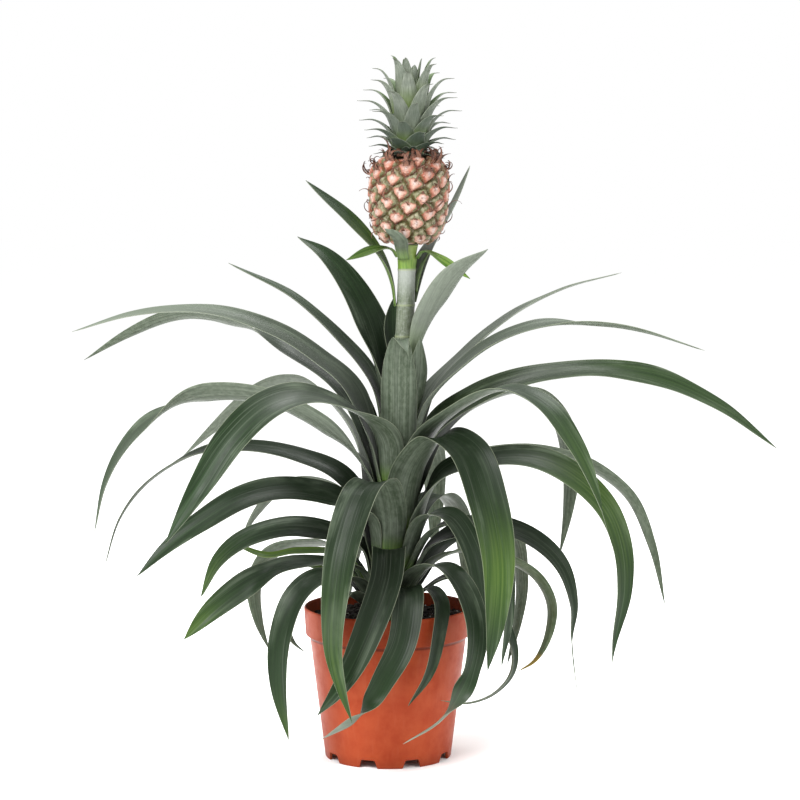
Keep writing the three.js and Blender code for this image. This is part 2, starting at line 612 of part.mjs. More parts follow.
// the step of the walk where a rising key reaches a value, as radius, z and q
function walkTo(walk, key, value) {
  let low = 0;
  let high = walk.length - 1;
  while (high - low > 1) {
    const middle = (low + high) >> 1;
    if (walk[middle][key] < value) {
      low = middle;
    } else {
      high = middle;
    }
  }
  const t = clamp((value - walk[low][key]) / (walk[high][key] - walk[low][key]), 0, 1);
  return {
    radius: mix(walk[low].radius, walk[high].radius, t),
    z: mix(walk[low].z, walk[high].z, t),
    q: mix(walk[low].q, walk[high].q, t),
  };
}

function makeFruit() {
  const walk = walkOutline();
  const end = walk[walk.length - 1];
  const middleQ = walkTo(walk, 'z', FRUIT_HEIGHT / 2).q;
  const onSphere = (q, angle) => {
    const z = Math.tanh(q - middleQ);
    const r = Math.sqrt(Math.max(1 - z * z, 0));
    return new THREE.Vector3(r * Math.cos(angle), r * Math.sin(angle), z);
  };
  const centres = [];
  for (let i = 0; i < FRUIT_EYES; i++) {
    const place = walkTo(walk, 'area', end.area * (i + 0.5) / FRUIT_EYES);
    centres.push({ ...place, sphere: onSphere(place.q, i * GOLDEN_ANGLE) });
  }
  // a point of the unit sphere, brought onto the fruit, with its outward direction
  const onFruit = (sphere) => {
    const unit = sphere.clone().normalize();
    const q = clamp(Math.atanh(clamp(unit.z, -0.99999, 0.99999)) + middleQ, 0, end.q);
    const here = walkTo(walk, 'q', q);
    const next = walkTo(walk, 'q', clamp(q + 0.02, 0.02, end.q));
    const before = walkTo(walk, 'q', clamp(q - 0.02, 0, end.q - 0.02));
    const angle = Math.atan2(unit.y, unit.x);
    const radial = new THREE.Vector3(Math.cos(angle), Math.sin(angle), 0);
    const rise = next.z - before.z;
    const spread = next.radius - before.radius;
    const normal = radial.clone().multiplyScalar(rise).add(new THREE.Vector3(0, 0, -spread));
    normal.normalize();
    const place = radial.multiplyScalar(here.radius).add(new THREE.Vector3(0, 0, here.z));
    place.add(new THREE.Vector3(leanAt(FRUIT_BOTTOM + here.z), 0, FRUIT_BOTTOM));
    return { place, normal };
  };
  // neighbouring eyes from the hull of their centres on the sphere
  const hull = new ConvexHull().setFromPoints(centres.map((c) => c.sphere));
  const indexOf = new Map(centres.map((c, i) => [c.sphere, i]));
  const cells = centres.map(() => []);
  const corners = [];
  for (const face of hull.faces) {
    const around = [0, 1, 2].map((k) => indexOf.get(face.getEdge(k).head().point));
    const middle = new THREE.Vector3();
    around.forEach((i) => middle.add(centres[i].sphere));
    corners.push(middle.normalize());
    around.forEach((i) => cells[i].push(corners.length - 1));
  }
  const vertices = corners.map((corner) => {
    const { place, normal } = onFruit(corner);
    return place.addScaledVector(normal, -EYE_GROOVE);
  });
  const triangles = [];
  centres.forEach((centre, i) => {
    addEye(centre, cells[i], corners, onFruit, vertices, triangles);
  });
  const shape = toManifold(meshGeometry(vertices, triangles));
  addPiece('fruit', fromManifold(shape), finish('#b06a50', 0.6));
}

// One eye: its sunken border, a raised ring, and the bract that curls up out of it
function addEye(centre, cell, corners, onFruit, vertices, triangles) {
  const axis = centre.sphere;
  const east = new THREE.Vector3(-axis.y, axis.x, 0).normalize();
  const north = new THREE.Vector3().crossVectors(axis, east);
  const bearing = (index) => {
    const offset = corners[index].clone().sub(axis);
    return Math.atan2(offset.dot(north), offset.dot(east));
  };
  const border = [...cell].sort((a, b) => bearing(a) - bearing(b));
  const ring = (share, rise, shift) => border.map((index) => {
    const spot = axis.clone().lerp(corners[index], share);
    spot.addScaledVector(north, shift);
    const { place, normal } = onFruit(spot);
    vertices.push(place.addScaledVector(normal, rise));
    return vertices.length - 1;
  });
  const strength = smooth((centre.radius - POLE_RADIUS) / POLE_FADE);
  const shoulder = ring(EYE_SHOULDER, mix(-EYE_GROOVE, EYE_RISE, strength), 0);
  const neck = ring(EYE_NECK, mix(-EYE_GROOVE, NECK_RISE, strength), NECK_SHIFT);
  const { place, normal } = onFruit(axis.clone().addScaledVector(north, TIP_SHIFT));
  const outer = smooth((centre.radius - BRACT_RADIUS) / POLE_FADE);
  const [low, top] = HIGH_EYES;
  const high = smooth((centre.z / FRUIT_HEIGHT - low) / (top - low)) * (1 - smooth(normal.z));
  const foot = mix(-EYE_GROOVE, EYE_RISE, strength);
  const tip = place.addScaledVector(normal, mix(foot, BRACT_REACH, outer));
  tip.z += outer * mix(BRACT_CURL[0], BRACT_CURL[1], high);
  vertices.push(tip);
  const apex = vertices.length - 1;
  const n = border.length;
  for (let j = 0; j < n; j++) {
    const k = (j + 1) % n;
    triangles.push(border[j], border[k], shoulder[k], border[j], shoulder[k], shoulder[j]);
    triangles.push(shoulder[j], shoulder[k], neck[k], shoulder[j], neck[k], neck[j]);
    triangles.push(neck[j], neck[k], apex);
  }
}

// ---------------------------------------------------------------- crown

// One stiff leaf of the crown. Its middle line leaves the core at rootRadius, rises along the
// column and bends out to its tip, which is reach from the axis and rise above its root.
function crownBlade(azimuth, rootRadius, rootHeight, width, reach, rise) {
  const out = outward(azimuth);
  const side = sideways(azimuth);
  const middle = new THREE.QuadraticBezierCurve(
    new THREE.Vector2(rootRadius, rootHeight),
    new THREE.Vector2(rootRadius + CROWN_STAND[0], rootHeight + rise * CROWN_STAND[1]),
    new THREE.Vector2(reach, rootHeight + rise),
  );
  const rings = [];
  for (let i = 0; i <= CROWN_SEGMENTS; i++) {
    const t = i / CROWN_SEGMENTS;
    const spot = middle.getPoint(t);
    const ahead = middle.getTangent(t);
    const half = Math.max(width / 2 * (1 - t ** CROWN_TAPER), CROWN_TIP);
    const cup = CROWN_CUP * half;
    const thickness = mix(...CROWN_THICKNESS, t);
    const centre = new THREE.Vector3(leanAt(rootHeight), 0, spot.y).addScaledVector(out, spot.x);
    const under = out.clone().multiplyScalar(ahead.y).add(new THREE.Vector3(0, 0, -ahead.x));
    const left = centre.clone().addScaledVector(side, -half).addScaledVector(under, -cup);
    const right = centre.clone().addScaledVector(side, half).addScaledVector(under, -cup);
    const front = centre.clone().addScaledVector(under, thickness / 2);
    const back = centre.clone().addScaledVector(under, -thickness / 2);
    rings.push([left, front, right, back]);
  }
  return skin([[meanOf(rings[0])], ...rings, [meanOf(rings[CROWN_SEGMENTS])]]);
}

function meanOf(points) {
  const sum = new THREE.Vector3();
  points.forEach((p) => sum.add(p));
  return sum.multiplyScalar(1 / points.length);
}

function makeCrown() {
  const coreRings = CROWN_CORE.map(([radius, height]) => {
    const middle = new THREE.Vector3(leanAt(CROWN_BOTTOM + height), 0, CROWN_BOTTOM + height);
    return radius === 0 ? [middle] : circle(middle, radius, CROWN_SIDES);
  });
  const coreRadiusAt = (height) => along(CROWN_CORE.slice(1).map(([r, z]) => [z, r]), height);
  let crown = toManifold(skin(coreRings));
  for (let i = 0; i < CROWN_LEAVES; i++) {
    const t = i / (CROWN_LEAVES - 1);
    const azimuth = i * GOLDEN_ANGLE * 180 / Math.PI;
    const tip = mix(CROWN_LOWEST_TIP, CROWN_HEIGHT, t ** CROWN_CROWDING);
    const rise = along(CROWN_RISE, t);
    const root = tip - rise;
    const rootRadius = coreRadiusAt(root + 1) - CROWN_ROOT_DEPTH;
    const blade = crownBlade(azimuth, rootRadius, CROWN_BOTTOM + root, along(CROWN_WIDTH, t),
      along(CROWN_REACH, t), rise);
    crown = crown.add(toManifold(blade));
  }
  addPiece('crown', fromManifold(crown.simplify(CROWN_FINENESS)), finish('#5c7a5e', 0.55));
}

// ---------------------------------------------------------------- the plant

makePot();
makeSoil();
makeStem();
makeLeaves();
makeFruit();
makeCrown();

export default plant;
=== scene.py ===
import math
import random

import bpy
import numpy as np
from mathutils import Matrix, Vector


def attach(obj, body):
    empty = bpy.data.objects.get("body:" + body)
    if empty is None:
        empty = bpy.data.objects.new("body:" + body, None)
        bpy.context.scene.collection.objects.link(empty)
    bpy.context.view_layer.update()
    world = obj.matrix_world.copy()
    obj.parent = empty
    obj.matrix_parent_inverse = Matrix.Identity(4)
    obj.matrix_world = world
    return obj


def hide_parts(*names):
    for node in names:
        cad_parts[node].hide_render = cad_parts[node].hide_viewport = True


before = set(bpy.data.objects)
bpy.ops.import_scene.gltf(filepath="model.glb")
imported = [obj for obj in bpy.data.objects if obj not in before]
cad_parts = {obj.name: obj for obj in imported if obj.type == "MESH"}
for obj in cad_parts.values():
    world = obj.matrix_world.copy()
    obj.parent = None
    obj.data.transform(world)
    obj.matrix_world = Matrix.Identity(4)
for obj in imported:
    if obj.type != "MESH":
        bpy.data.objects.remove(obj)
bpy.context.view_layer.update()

# A potted pineapple plant. Shapes are worked out in millimetres and put into meshes in metres;
# angles are in degrees. The front of the plant faces -Y. An azimuth goes from the front towards
# the right (+X).
MM = 0.001
UP = np.array([0.0, 0.0, 1.0])
GAP = 0.3                           # clearance between bodies that touch on the real plant
GOLDEN_ANGLE = math.pi * (3 - math.sqrt(5))

# ---------------------------------------------------------------- driving dimensions

POT_HEIGHT = 108
POT_RIM_RADIUS = 60
POT_BASE_RADIUS = 45
POT_WALL = 1.5
COLLAR_HEIGHT = 22
COLLAR_STEP = 3
COLLAR_TAPER = 1.2
COLLAR_FOOT = POT_HEIGHT - COLLAR_HEIGHT
COLLAR_SLOPE = 2.2                  # height of the sloping underside of the collar
INNER_STEP = 2                      # half height of the sloping step behind it
LIP_DROPS = [0.9, 0.6]              # of the rim's outer and inner edge under its top
FLOOR_UNDERSIDE = 7
FLOOR_FILLET = [2, 4]               # width and height of the slope from the floor to the wall
FOOT_DRAFT = 0.2
POT_ROUNDING = 0.7
POT_SHARP_ANGLE = 40
BOSS_RADIUS = 10
NOTCH_COUNT = 9
NOTCH_HEIGHT = 6
NOTCH_WIDTH_BOTTOM = 14
NOTCH_WIDTH_TOP = 10.5
NOTCH_FIRST_AZIMUTH = -58
NOTCH_CORNER = [0.1, 1]             # width past the top's end where its bevel starts, and the bevel
NOTCH_REACH = 8
POT_SIDES = 180

SOIL_TOP = 99
SOIL_LUMP = 1.6
SOIL_RINGS = 40
SOIL_SIDES = 120
STEM_HOLE_FLOOR = 70
CRUMBS = 900
CRUMB_SIZES = (0.8, 2.4)
SOIL_GRAINS = 140
GRAIN_SIZES = (0.6, 1.4)
CRUMB_SIT = 0.15                    # share of its size that a crumb's middle lies over the soil

STEM_TOP = 364.5
STEM_PROFILE = [[70.3, 11], [90, 12.6], [112, 12.6], [150, 12], [200, 10.4], [250, 8.4],
                [292, 6.8], [318, 6.4], [347, 6.2], [355, 6.9], [358, 6.3], [STEM_TOP, 7.4]]
STALK_NODES = [300, 322, 347]
NODE_SWELL = [0.35, 1.3]            # height and half length of the swelling at such a node
STEM_RINGS = 420
STEM_SIDES = 48
LEAN = 16
LEAN_START = 95
LEAN_LENGTH = 430

LEAF_THICKNESS = 1.2
LEAF_EDGE = 0.7
LEAF_CHANNEL = 28                   # least half angle of the trough of a blade
LEAF_WRAP = 70                      # and the most, where it grows round the stem
LEAF_FLARE = 34                     # length along which the root widens
LEAF_TURN = [22, 72]                # distances from the root between which a blade opens
SHORT_LEAF_TURN = [0.1, 0.8]        # latest shares of its length at which a blade opens
LEAF_TAPER = 4.5
LEAF_SEAT = 0.68                    # distance of the under side of a root from the stem
LEAF_TWIST_SPAN = 0.2
LEAF_STEP = 2.5
LEAF_LEAST_STEPS = 8
LEAF_CELLS = 16
LEAF_THIN_START = 0.6               # share of its length from which a leaf grows thinner
MARGIN_THICKNESS = 0.3
MARGIN_START = 0.9                  # share of its half width from which the margin grows thinner
TIP_START = 0.85
TIP_HALF_WIDTHS = [0.5, 0.16]       # least half width, before the tip and at its end
TIP_THICKNESS = [1.2, 0.2]          # most thickness over the half width, and the least that this gives
RIPPLES = [[0.35, 17, 1.0, 3], [0.25, 9, 2.3, 2]]  # height, length, shift a seed, power across
RIPPLE_HALF_WIDTH = 8               # half width of a blade that has its ripples in full
CURVE_STEPS = 80
ROOT_FRESHNESS = 0.8
DRY_FADE = 0.03

EYE_GROOVE = 1.3
FRUIT_BOTTOM = STEM_TOP + GAP - EYE_GROOVE
FRUIT_EYES = 88
FRUIT_OUTLINE = [[0, 0], [8, 0.4], [15, 3], [21.4, 9], [24.8, 18], [26.6, 30], [27, 42],
                 [26.4, 50], [23.8, 56.5], [18.6, 60.8], [9.5, 62.4], [0, 62.4]]
FRUIT_HEIGHT = 62.4
EYE_RISE = 1.1
POLE_RADIUS = 13                    # the eyes fade out nearer to the axis
POLE_FADE = 4
BRACT_RADIUS = 17                   # at the fruit's foot, eyes nearer to the axis have no dry tips
FRUIT_ROWS = 220
FRUIT_SIDES = 380
FRUIT_WALK = 600                    # steps of the fruit's outline
FRUIT_END = 0.6                     # length of that outline left flat at either end
BORDER_FADE = 2.0                   # over which an eye rises from its groove
CUSHION = [7.5, 2.8]                # reach of an eye's dome, and the length of its outer slope
FLAP_TOP = 2.1
FLAP_SIDE = 5.0
FLAP_RISE = 0.5
SEAM_DEPTH = 0.45
STRAND_STEPS = 12
STRAND_SIDES = 6

CROWN_BOTTOM = FRUIT_BOTTOM + FRUIT_HEIGHT - EYE_GROOVE + 2 * GAP
CROWN_HEIGHT = 73
CROWN_LEAVES = 42
CROWN_CORE = [[0, 0], [9, 0], [12.5, 4], [13, 30], [8, 46], [0, 54]]
CROWN_REACH = [[0, 26], [0.15, 34], [0.6, 38], [0.85, 29], [1, 16]]
CROWN_RISE = [[0, 7], [0.1, 9.5], [0.2, 14], [0.4, 24], [0.55, 33], [1, 33]]
CROWN_WIDTH = [[0, 17], [0.2, 19], [1, 17]]
CROWN_LOWEST_TIP = 7.8
CROWN_CROWDING = 1.12               # over 1, the lower leaves sit closer
CROWN_ROOT_DEPTH = 1.9
CROWN_STAND = [3, 0.92]             # the curve's middle point: its way out, its share of the rise
CROWN_DROOP = [2.2, 36]             # droop of the tips, and the reach that has it in full
CROWN_CUP = 0.34
CROWN_THICKNESS = [1.3, 0.3]
CROWN_RINGS = 22
CROWN_CELLS = 8
CROWN_SIDES = 48
CROWN_FOOT_LEAVES = 13
CROWN_HEART_LEAVES = 6
HEART_SEED = 100                    # number of the first of the heart's leaves

CAMERA_PLACE = (0.0085, -1.55, 0.385)
CAMERA_TILT = 4.8                   # degrees below the horizon
CAMERA_LENS = 98.8
LIGHTS = [("key", (-0.9, -1.2, 1.6), 0.8, 52),     # name, place and size in metres, and power
          ("fill", (1.4, -1.0, 0.9), 1.0, 12),
          ("top", (0.1, 0.4, 1.8), 1.0, 36)]
LIGHT_AIM = (0, 0, 0.25)
FLOOR_REACH = 30

PAINT = 0.48                        # the studio light adds to the colours' brightness

# One row a leaf, numbered within its group: its azimuth, width, height of its root on the stem, and
# the points that its middle line passes, as [out from the stem's middle, height, sideways to the
# right]. Then come the options of its shape: root = width at the root, face = angle by which the
# blade turns its upper face to the front, tip_face = the same towards the tip, turn_at = where along
# it that change is, from 0 to 1, taper = how late the blade narrows, thread = where it has narrowed
# to a thread, from 0 to 1. Last, its look where it differs from the rest: tone = lighter or darker,
# from -1 to 1, green = how fresh and yellow-green it is, root = length of its fresh green root,
# painted glow = a band of painted glow in bright fresh green, as its middle and half length along
# the leaf, from 0 to 1, and its strength, pale = a pale band of painted sheen in the same way,
# dry = share of the leaf that has dried at its tip.
LEAVES = {
    "upper": [  # around the fruit stalk
        (-92, 16, 321, [[11, 338, -1.5], [20, 358, -5], [41, 382, -10], [74, 410, -17]],
         dict(root=9, face=34), dict(tone=-0.2, root=96)),
        (138, 16, 324, [[16, 352], [34, 375], [53, 400], [66, 421]], dict(root=8, face=-25),
         dict(tone=0.35, root=24)),
        (60, 26, 282, [[14, 302], [22, 322], [37, 344], [64, 362]], dict(root=14, face=-30, taper=3),
         dict(tone=0.35, root=34)),
        (-110, 32, 244, [[16, 268], [20, 293], [39, 332], [62, 357], [84, 370]],
         dict(face=34, root=24, taper=3), dict(tone=-0.3)),
        (-150, 22, 272, [[12, 290], [16, 308], [18, 326]], dict(root=12, taper=4)),
        (-8, 31, 205, [[13.5, 230], [16, 250], [20, 267], [24, 284], [29, 296, 1], [34, 300, 3],
         [38.5, 296, 6], [41, 286, 10]], dict(root=24, taper=3.5, thread=0.96),
         dict(tone=-0.1, pale=(0.92, 0.1, 0.35))),
        (38, 24, 240, [[15, 258], [18, 278], [18, 300]], dict(taper=3, root=20), dict(tone=-0.1)),
    ],
    "left": [  # from the top down
        (-105, 20, 212, [[21, 268], [48, 299], [82, 327], [133, 351]],
         dict(face=12, root=14, taper=3), dict(tone=-0.15)),
        (-100, 24, 192, [[34, 260], [63, 286], [104, 308], [150, 318], [201, 314], [245, 301]],
         dict(face=24, root=20, taper=2.6), dict(tone=0.1, pale=(0.9, 0.25, 0.25))),
        (-120, 24, 184, [[39, 254], [87, 286], [145, 307], [195, 311], [241, 296], [284, 274]],
         dict(face=25, tip_face=-38, turn_at=0.5, root=20, taper=3)),
        (-100, 24, 180, [[22, 203], [45, 228], [71, 244], [102, 256], [150, 256], [177, 243],
         [200, 222], [216, 190], [222, 155]], dict(face=-40, tip_face=35, turn_at=0.62, root=20),
         dict(tone=0.1)),
        (-139, 24, 156, [[49, 227], [99, 258], [127, 260], [166, 251], [194, 236], [262, 193]],
         dict(face=-34, root=17, taper=2.6), dict(tone=0.12)),
        (-38, 29, 197, [[19, 232, -2], [41, 252, -14], [74, 262, -27], [101, 256, -37],
         [127, 234, -46], [148, 202, -54], [170, 166, -62]], dict(face=27, root=24),
         dict(tone=-0.05, pale=(0.4, 0.2, 0.12))),
        (-112, 20, 136, [[37, 194], [77, 212], [121, 217], [158, 212], [198, 189], [222, 159],
         [233, 121]], dict(face=25, tip_face=10, root=17, taper=2.6), dict(tone=-0.3)),
        (-70, 25, 141, [[23, 176], [54, 190], [87, 195], [116, 189], [143, 174], [167, 157],
         [186, 139]], dict(face=38, root=18), dict(tone=-0.3)),
        (-130, 18, 127, [[20, 150], [44, 183], [84, 190], [113, 183], [137, 161], [151, 140]],
         dict(face=-30, root=14, taper=3), dict(tone=0.25)),
        (-98, 22, 121, [[24, 151], [50, 160], [79, 162], [108, 153], [127, 136], [138, 110]],
         dict(face=38, root=16, taper=8), dict(tone=-0.2, painted_glow=(0.97, 0.15, 0.35))),
        (-106, 9, 111, [[35, 141], [72, 144], [96, 140], [127, 150]], dict(face=30, root=8),
         dict(green=1.0)),
        (-70, 21, 117, [[25, 135], [55, 142], [81, 141], [106, 130], [130, 113], [150, 93]],
         dict(face=18, tip_face=62, root=15, taper=7), dict(tone=-0.1, painted_glow=(0.97, 0.15, 0.35))),
        (-86, 8, 103, [[31, 134], [50, 135], [70, 140]], dict(root=7, face=20), dict(green=0.8)),
        (-130, 18, 106, [[51, 143], [90, 143], [121, 131], [133, 108], [128, 82], [117, 60]],
         dict(face=-25, root=12)),
        (-48, 21, 107, [[35, 130], [67, 136], [88, 124], [99, 96], [100, 61], [92, 25]],
         dict(face=18, root=13), dict(tone=-0.1, painted_glow=(0.97, 0.1, 0.2))),
    ],
    "front": [
        (-20, 30, 147, [[19, 178], [39, 201], [69, 198, -1], [90, 163, -4], [101, 130, -3],
         [108, 95, 1], [111, 70, 8], [112, 48, 16]], dict(root=24, taper=2.8),
         dict(tone=-0.15, pale=(0.75, 0.16, 0.2), painted_glow=(0.9, 0.2, 0.2))),
        (-5, 24, 126, [[34, 153], [56, 136, 1], [81, 100, -8], [91, 69, -23], [96, 49, -39]],
         dict(root=18), dict(tone=-0.2)),
        (2, 23, 111, [[22, 117, 1], [40, 127, 8], [60, 122, 10], [74, 94, 7], [81, 72, -5],
         [83, 49, -20], [82, 31, -47]], dict(tip_face=150, turn_at=0.8, root=13, taper=3),
         dict(tone=-0.15, pale=(1.0, 0.2, 0.6))),
        (-32, 18, 103, [[56, 125, -3], [73, 114, 1], [77, 92, 2], [76, 69, 3]], dict(root=12),
         dict(tone=-0.2)),
        (42, 14, 109, [[36, 124, 2], [56, 117, -3], [66, 94, -13], [67, 71, -23], [60, 50, -35]],
         dict(root=10), dict(tone=-0.3)),
        (35, 20, 116, [[34, 137], [63, 144], [87, 129, 2], [100, 105, 3], [95, 70], [83, 42, -14],
         [70, 26, -36]], dict(tip_face=145, turn_at=0.76, root=15, taper=4),
         dict(tone=-0.1, pale=(1.0, 0.22, 0.6))),
        (50, 20, 136, [[27, 173], [49, 177], [69, 158], [82, 121], [81, 82], [75, 52]],
         dict(face=15, root=16)),
        (68, 19, 133, [[30, 163], [50, 171], [68, 167], [84, 146], [90, 110], [86, 70]],
         dict(face=15, root=14)),
    ],
    "right": [  # from the top down
        (24, 31, 163, [[20.5, 210, 2], [41.5, 233, 10], [70, 225, 20], [92, 193, 26], [106, 154, 30],
         [107, 113, 31], [102, 77, 29]], dict(face=12, root=24),
         dict(tone=-0.12, painted_glow=(0.76, 0.12, 0.42))),
        (132, 20, 212, [[27, 260], [66, 290], [105, 312], [158, 330], [224, 341]],
         dict(face=-12, root=16, taper=2.6), dict(tone=0.15)),
        (85, 22, 226, [[23, 259], [54, 291], [91, 308], [138, 309], [169, 304], [211, 291]],
         dict(face=17, tip_face=-12, root=17, taper=2.6), dict(tone=0.1)),
        (104, 26, 183, [[28, 234, 11], [56, 256, 7], [86, 268], [115, 273], [161, 273], [202, 264],
         [246, 243], [289, 213]], dict(face=25, tip_face=44, root=17), dict(green=0.06)),
        (45, 26, 193, [[27, 231], [63, 257], [101, 269], [137, 258], [162, 235], [180, 210],
         [199, 172]], dict(face=5, root=22, thread=0.92), dict(painted_glow=(0.8, 0.15, 0.1))),
        (130, 24, 178, [[38, 229], [85, 252], [130, 253], [158, 231], [171, 200], [172, 161],
         [167, 127]], dict(face=-10, root=20), dict(tone=0.05)),
        (68, 26, 142, [[32, 203], [68, 216], [105, 217], [135, 203], [156, 184], [168, 158],
         [172, 129], [168, 94], [165, 60]], dict(face=30, root=17, thread=0.94),
         dict(tone=-0.05, painted_glow=(0.6, 0.14, 0.25))),
        (120, 15, 135, [[35, 204], [76, 215], [120, 213], [166, 199], [205, 173], [229, 134],
         [246, 85]], dict(face=-28, root=15)),
        (85, 21, 120, [[27, 151], [58, 166], [83, 164], [105, 153], [122, 135], [131, 110], [131, 85],
         [136, 39]], dict(face=35, root=15, thread=0.82), dict(tone=-0.3)),
        (108, 17, 115.5, [[32, 138], [58, 145], [94, 134], [114, 120], [125, 101], [123, 79],
         [113, 61], [99, 53]], dict(face=-25, root=12, taper=3), dict(dry=0.12, green=0.15)),
        (140, 18, 104, [[53, 143], [100, 151], [141, 143], [157, 106], [154, 75], [141, 42]],
         dict(root=12), dict(tone=-0.1)),
        (85, 16, 110, [[41, 127, 8], [71, 117, 10], [83, 96, 7], [90, 77, -2], [88, 62, -16],
         [76, 51, -30], [58, 47, -41], [41, 50, -47]], dict(face=20, root=11, taper=3)),
    ],
    "back": [
        (-128, 13, 101.5, [[38, 122], [66, 116], [88, 103], [96, 86], [90, 71], [78, 64]],
         dict(root=12)),
        (168, 24, 162, [[30, 198], [62, 218], [100, 218], [132, 196], [150, 160], [156, 120]],
         dict(root=17)),
        (-165, 24, 109, [[30, 150], [60, 164], [96, 156], [122, 132], [134, 96], [134, 60]],
         dict(root=16)),
        (154, 22, 129, [[34, 170], [70, 180], [106, 164], [130, 126], [138, 84]], dict(root=15)),
        (178, 20, 107, [[38, 132], [70, 129], [94, 105], [104, 70], [106, 40]], dict(root=12)),
    ],
}
BRACTS = {
    "left": (-76, 9, 356, [[12, 361.5], [26, 361], [44, 354]],
     dict(face=80, turn_at=0, root=7, taper=3), dict(tone=-0.1, green=0.4)),
    "right": (75, 9, 355, [[12, 360], [24, 355], [46, 341]],
     dict(face=80, turn_at=0, root=7, taper=3), dict(green=0.85)),
    "side": (112, 8, 331, [[9, 341], [12, 351], [17, 360]], dict(root=7, taper=3), dict(green=0.9)),
    "front": (-20, 13, 354, [[12, 360], [28, 370, 3], [34, 376, -5]], dict(root=9), dict(tone=0.1)),
    "back": (170, 11, 355, [[13, 360.5], [30, 368]], dict(root=9)),
}
ROOT_GREEN = 16                     # length of the fresh green root of most leaves


# ---------------------------------------------------------------- small helpers

def mix(a, b, t):
    return a + (b - a) * t


def smooth(t):
    x = np.clip(t, 0, 1)
    return x * x * (3 - 2 * x)


def along(points, x):
    """Value at x on the straight pieces between [x, value] points."""
    xs, values = zip(*points)
    return np.interp(x, xs, values)


def late(t, start):
    """Rises smoothly from 0 at the start to 1 where t is 1."""
    return smooth((t - start) / (1 - start))


def around(sides):
    """Even angles once around a circle, in radians."""
    return 2 * math.pi * np.arange(sides) / sides


def lean_at(z):
    """How far the stem's middle has bent to the right at a height."""
    t = np.clip((z - LEAN_START) / LEAN_LENGTH, 0, 1)
    return LEAN * (1 - (1 - t) ** 2)


def outward(azimuth):
    a = math.radians(azimuth)
    return np.array([math.sin(a), -math.cos(a), 0.0])


def sideways(azimuth):
    a = math.radians(azimuth)
    return np.array([math.cos(a), math.sin(a), 0.0])


def unit(vectors):
    return vectors / np.maximum(np.linalg.norm(vectors, axis=-1, keepdims=True), 1e-12)


def turned(vector, axis, angle):
    """Rows of vector turned about the matching rows of axis."""
    c = np.cos(angle)[:, None]
    s = np.sin(angle)[:, None]
    dot = (vector * axis).sum(1, keepdims=True)
    return vector * c + np.cross(axis, vector) * s + axis * dot * (1 - c)


def ring_faces(rings, sides, start=0):
    """Quads of a skin over closed rings of points."""
    i, j = np.meshgrid(np.arange(rings - 1), np.arange(sides), indexing="ij")
    k = (j + 1) % sides
    a = start + i * sides + j
    b = start + i * sides + k
    return np.stack([a, b, b + sides, a + sides], -1).reshape(-1, 4).tolist()


def shifted(faces, start):
    """These faces, for points that come after this many others."""
    return [[k + start for k in face] for face in faces]


def tube_faces(rings, sides, start=0):
    """The same quads, closed by a face at either end."""
    last = start + (rings - 1) * sides
    return ring_faces(rings, sides, start) + [list(range(start + sides - 1, start - 1, -1)),
                                              list(range(last, last + sides))]


def add_object(name, data):
    """An object that shows this data, put in the scene."""
    made = bpy.data.objects.new(name, data)
    bpy.context.scene.collection.objects.link(made)
    return made


def make_piece(name, points, faces, material, replaced=(), attributes=None):
    """A mesh piece that rides on the plant. Points are in millimetres."""
    mesh = bpy.data.meshes.new(name)
    mesh.from_pydata((np.asarray(points) * MM).tolist(), [], faces)
    for key, values in (attributes or {}).items():
        values = np.asarray(values, dtype=np.float32)
        kind = "FLOAT_COLOR" if values.shape[1] == 4 else "FLOAT_VECTOR"
        layer = mesh.attributes.new(key, kind, "POINT")
        layer.data.foreach_set("color" if kind == "FLOAT_COLOR" else "vector", values.ravel())
    mesh.polygons.foreach_set("use_smooth", [True] * len(mesh.polygons))
    mesh.materials.append(material)
    mesh.update()
    piece = add_object(name, mesh)
    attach(piece, "root")
    if replaced:
        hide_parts(*replaced)
    return piece


# ---------------------------------------------------------------- material helpers

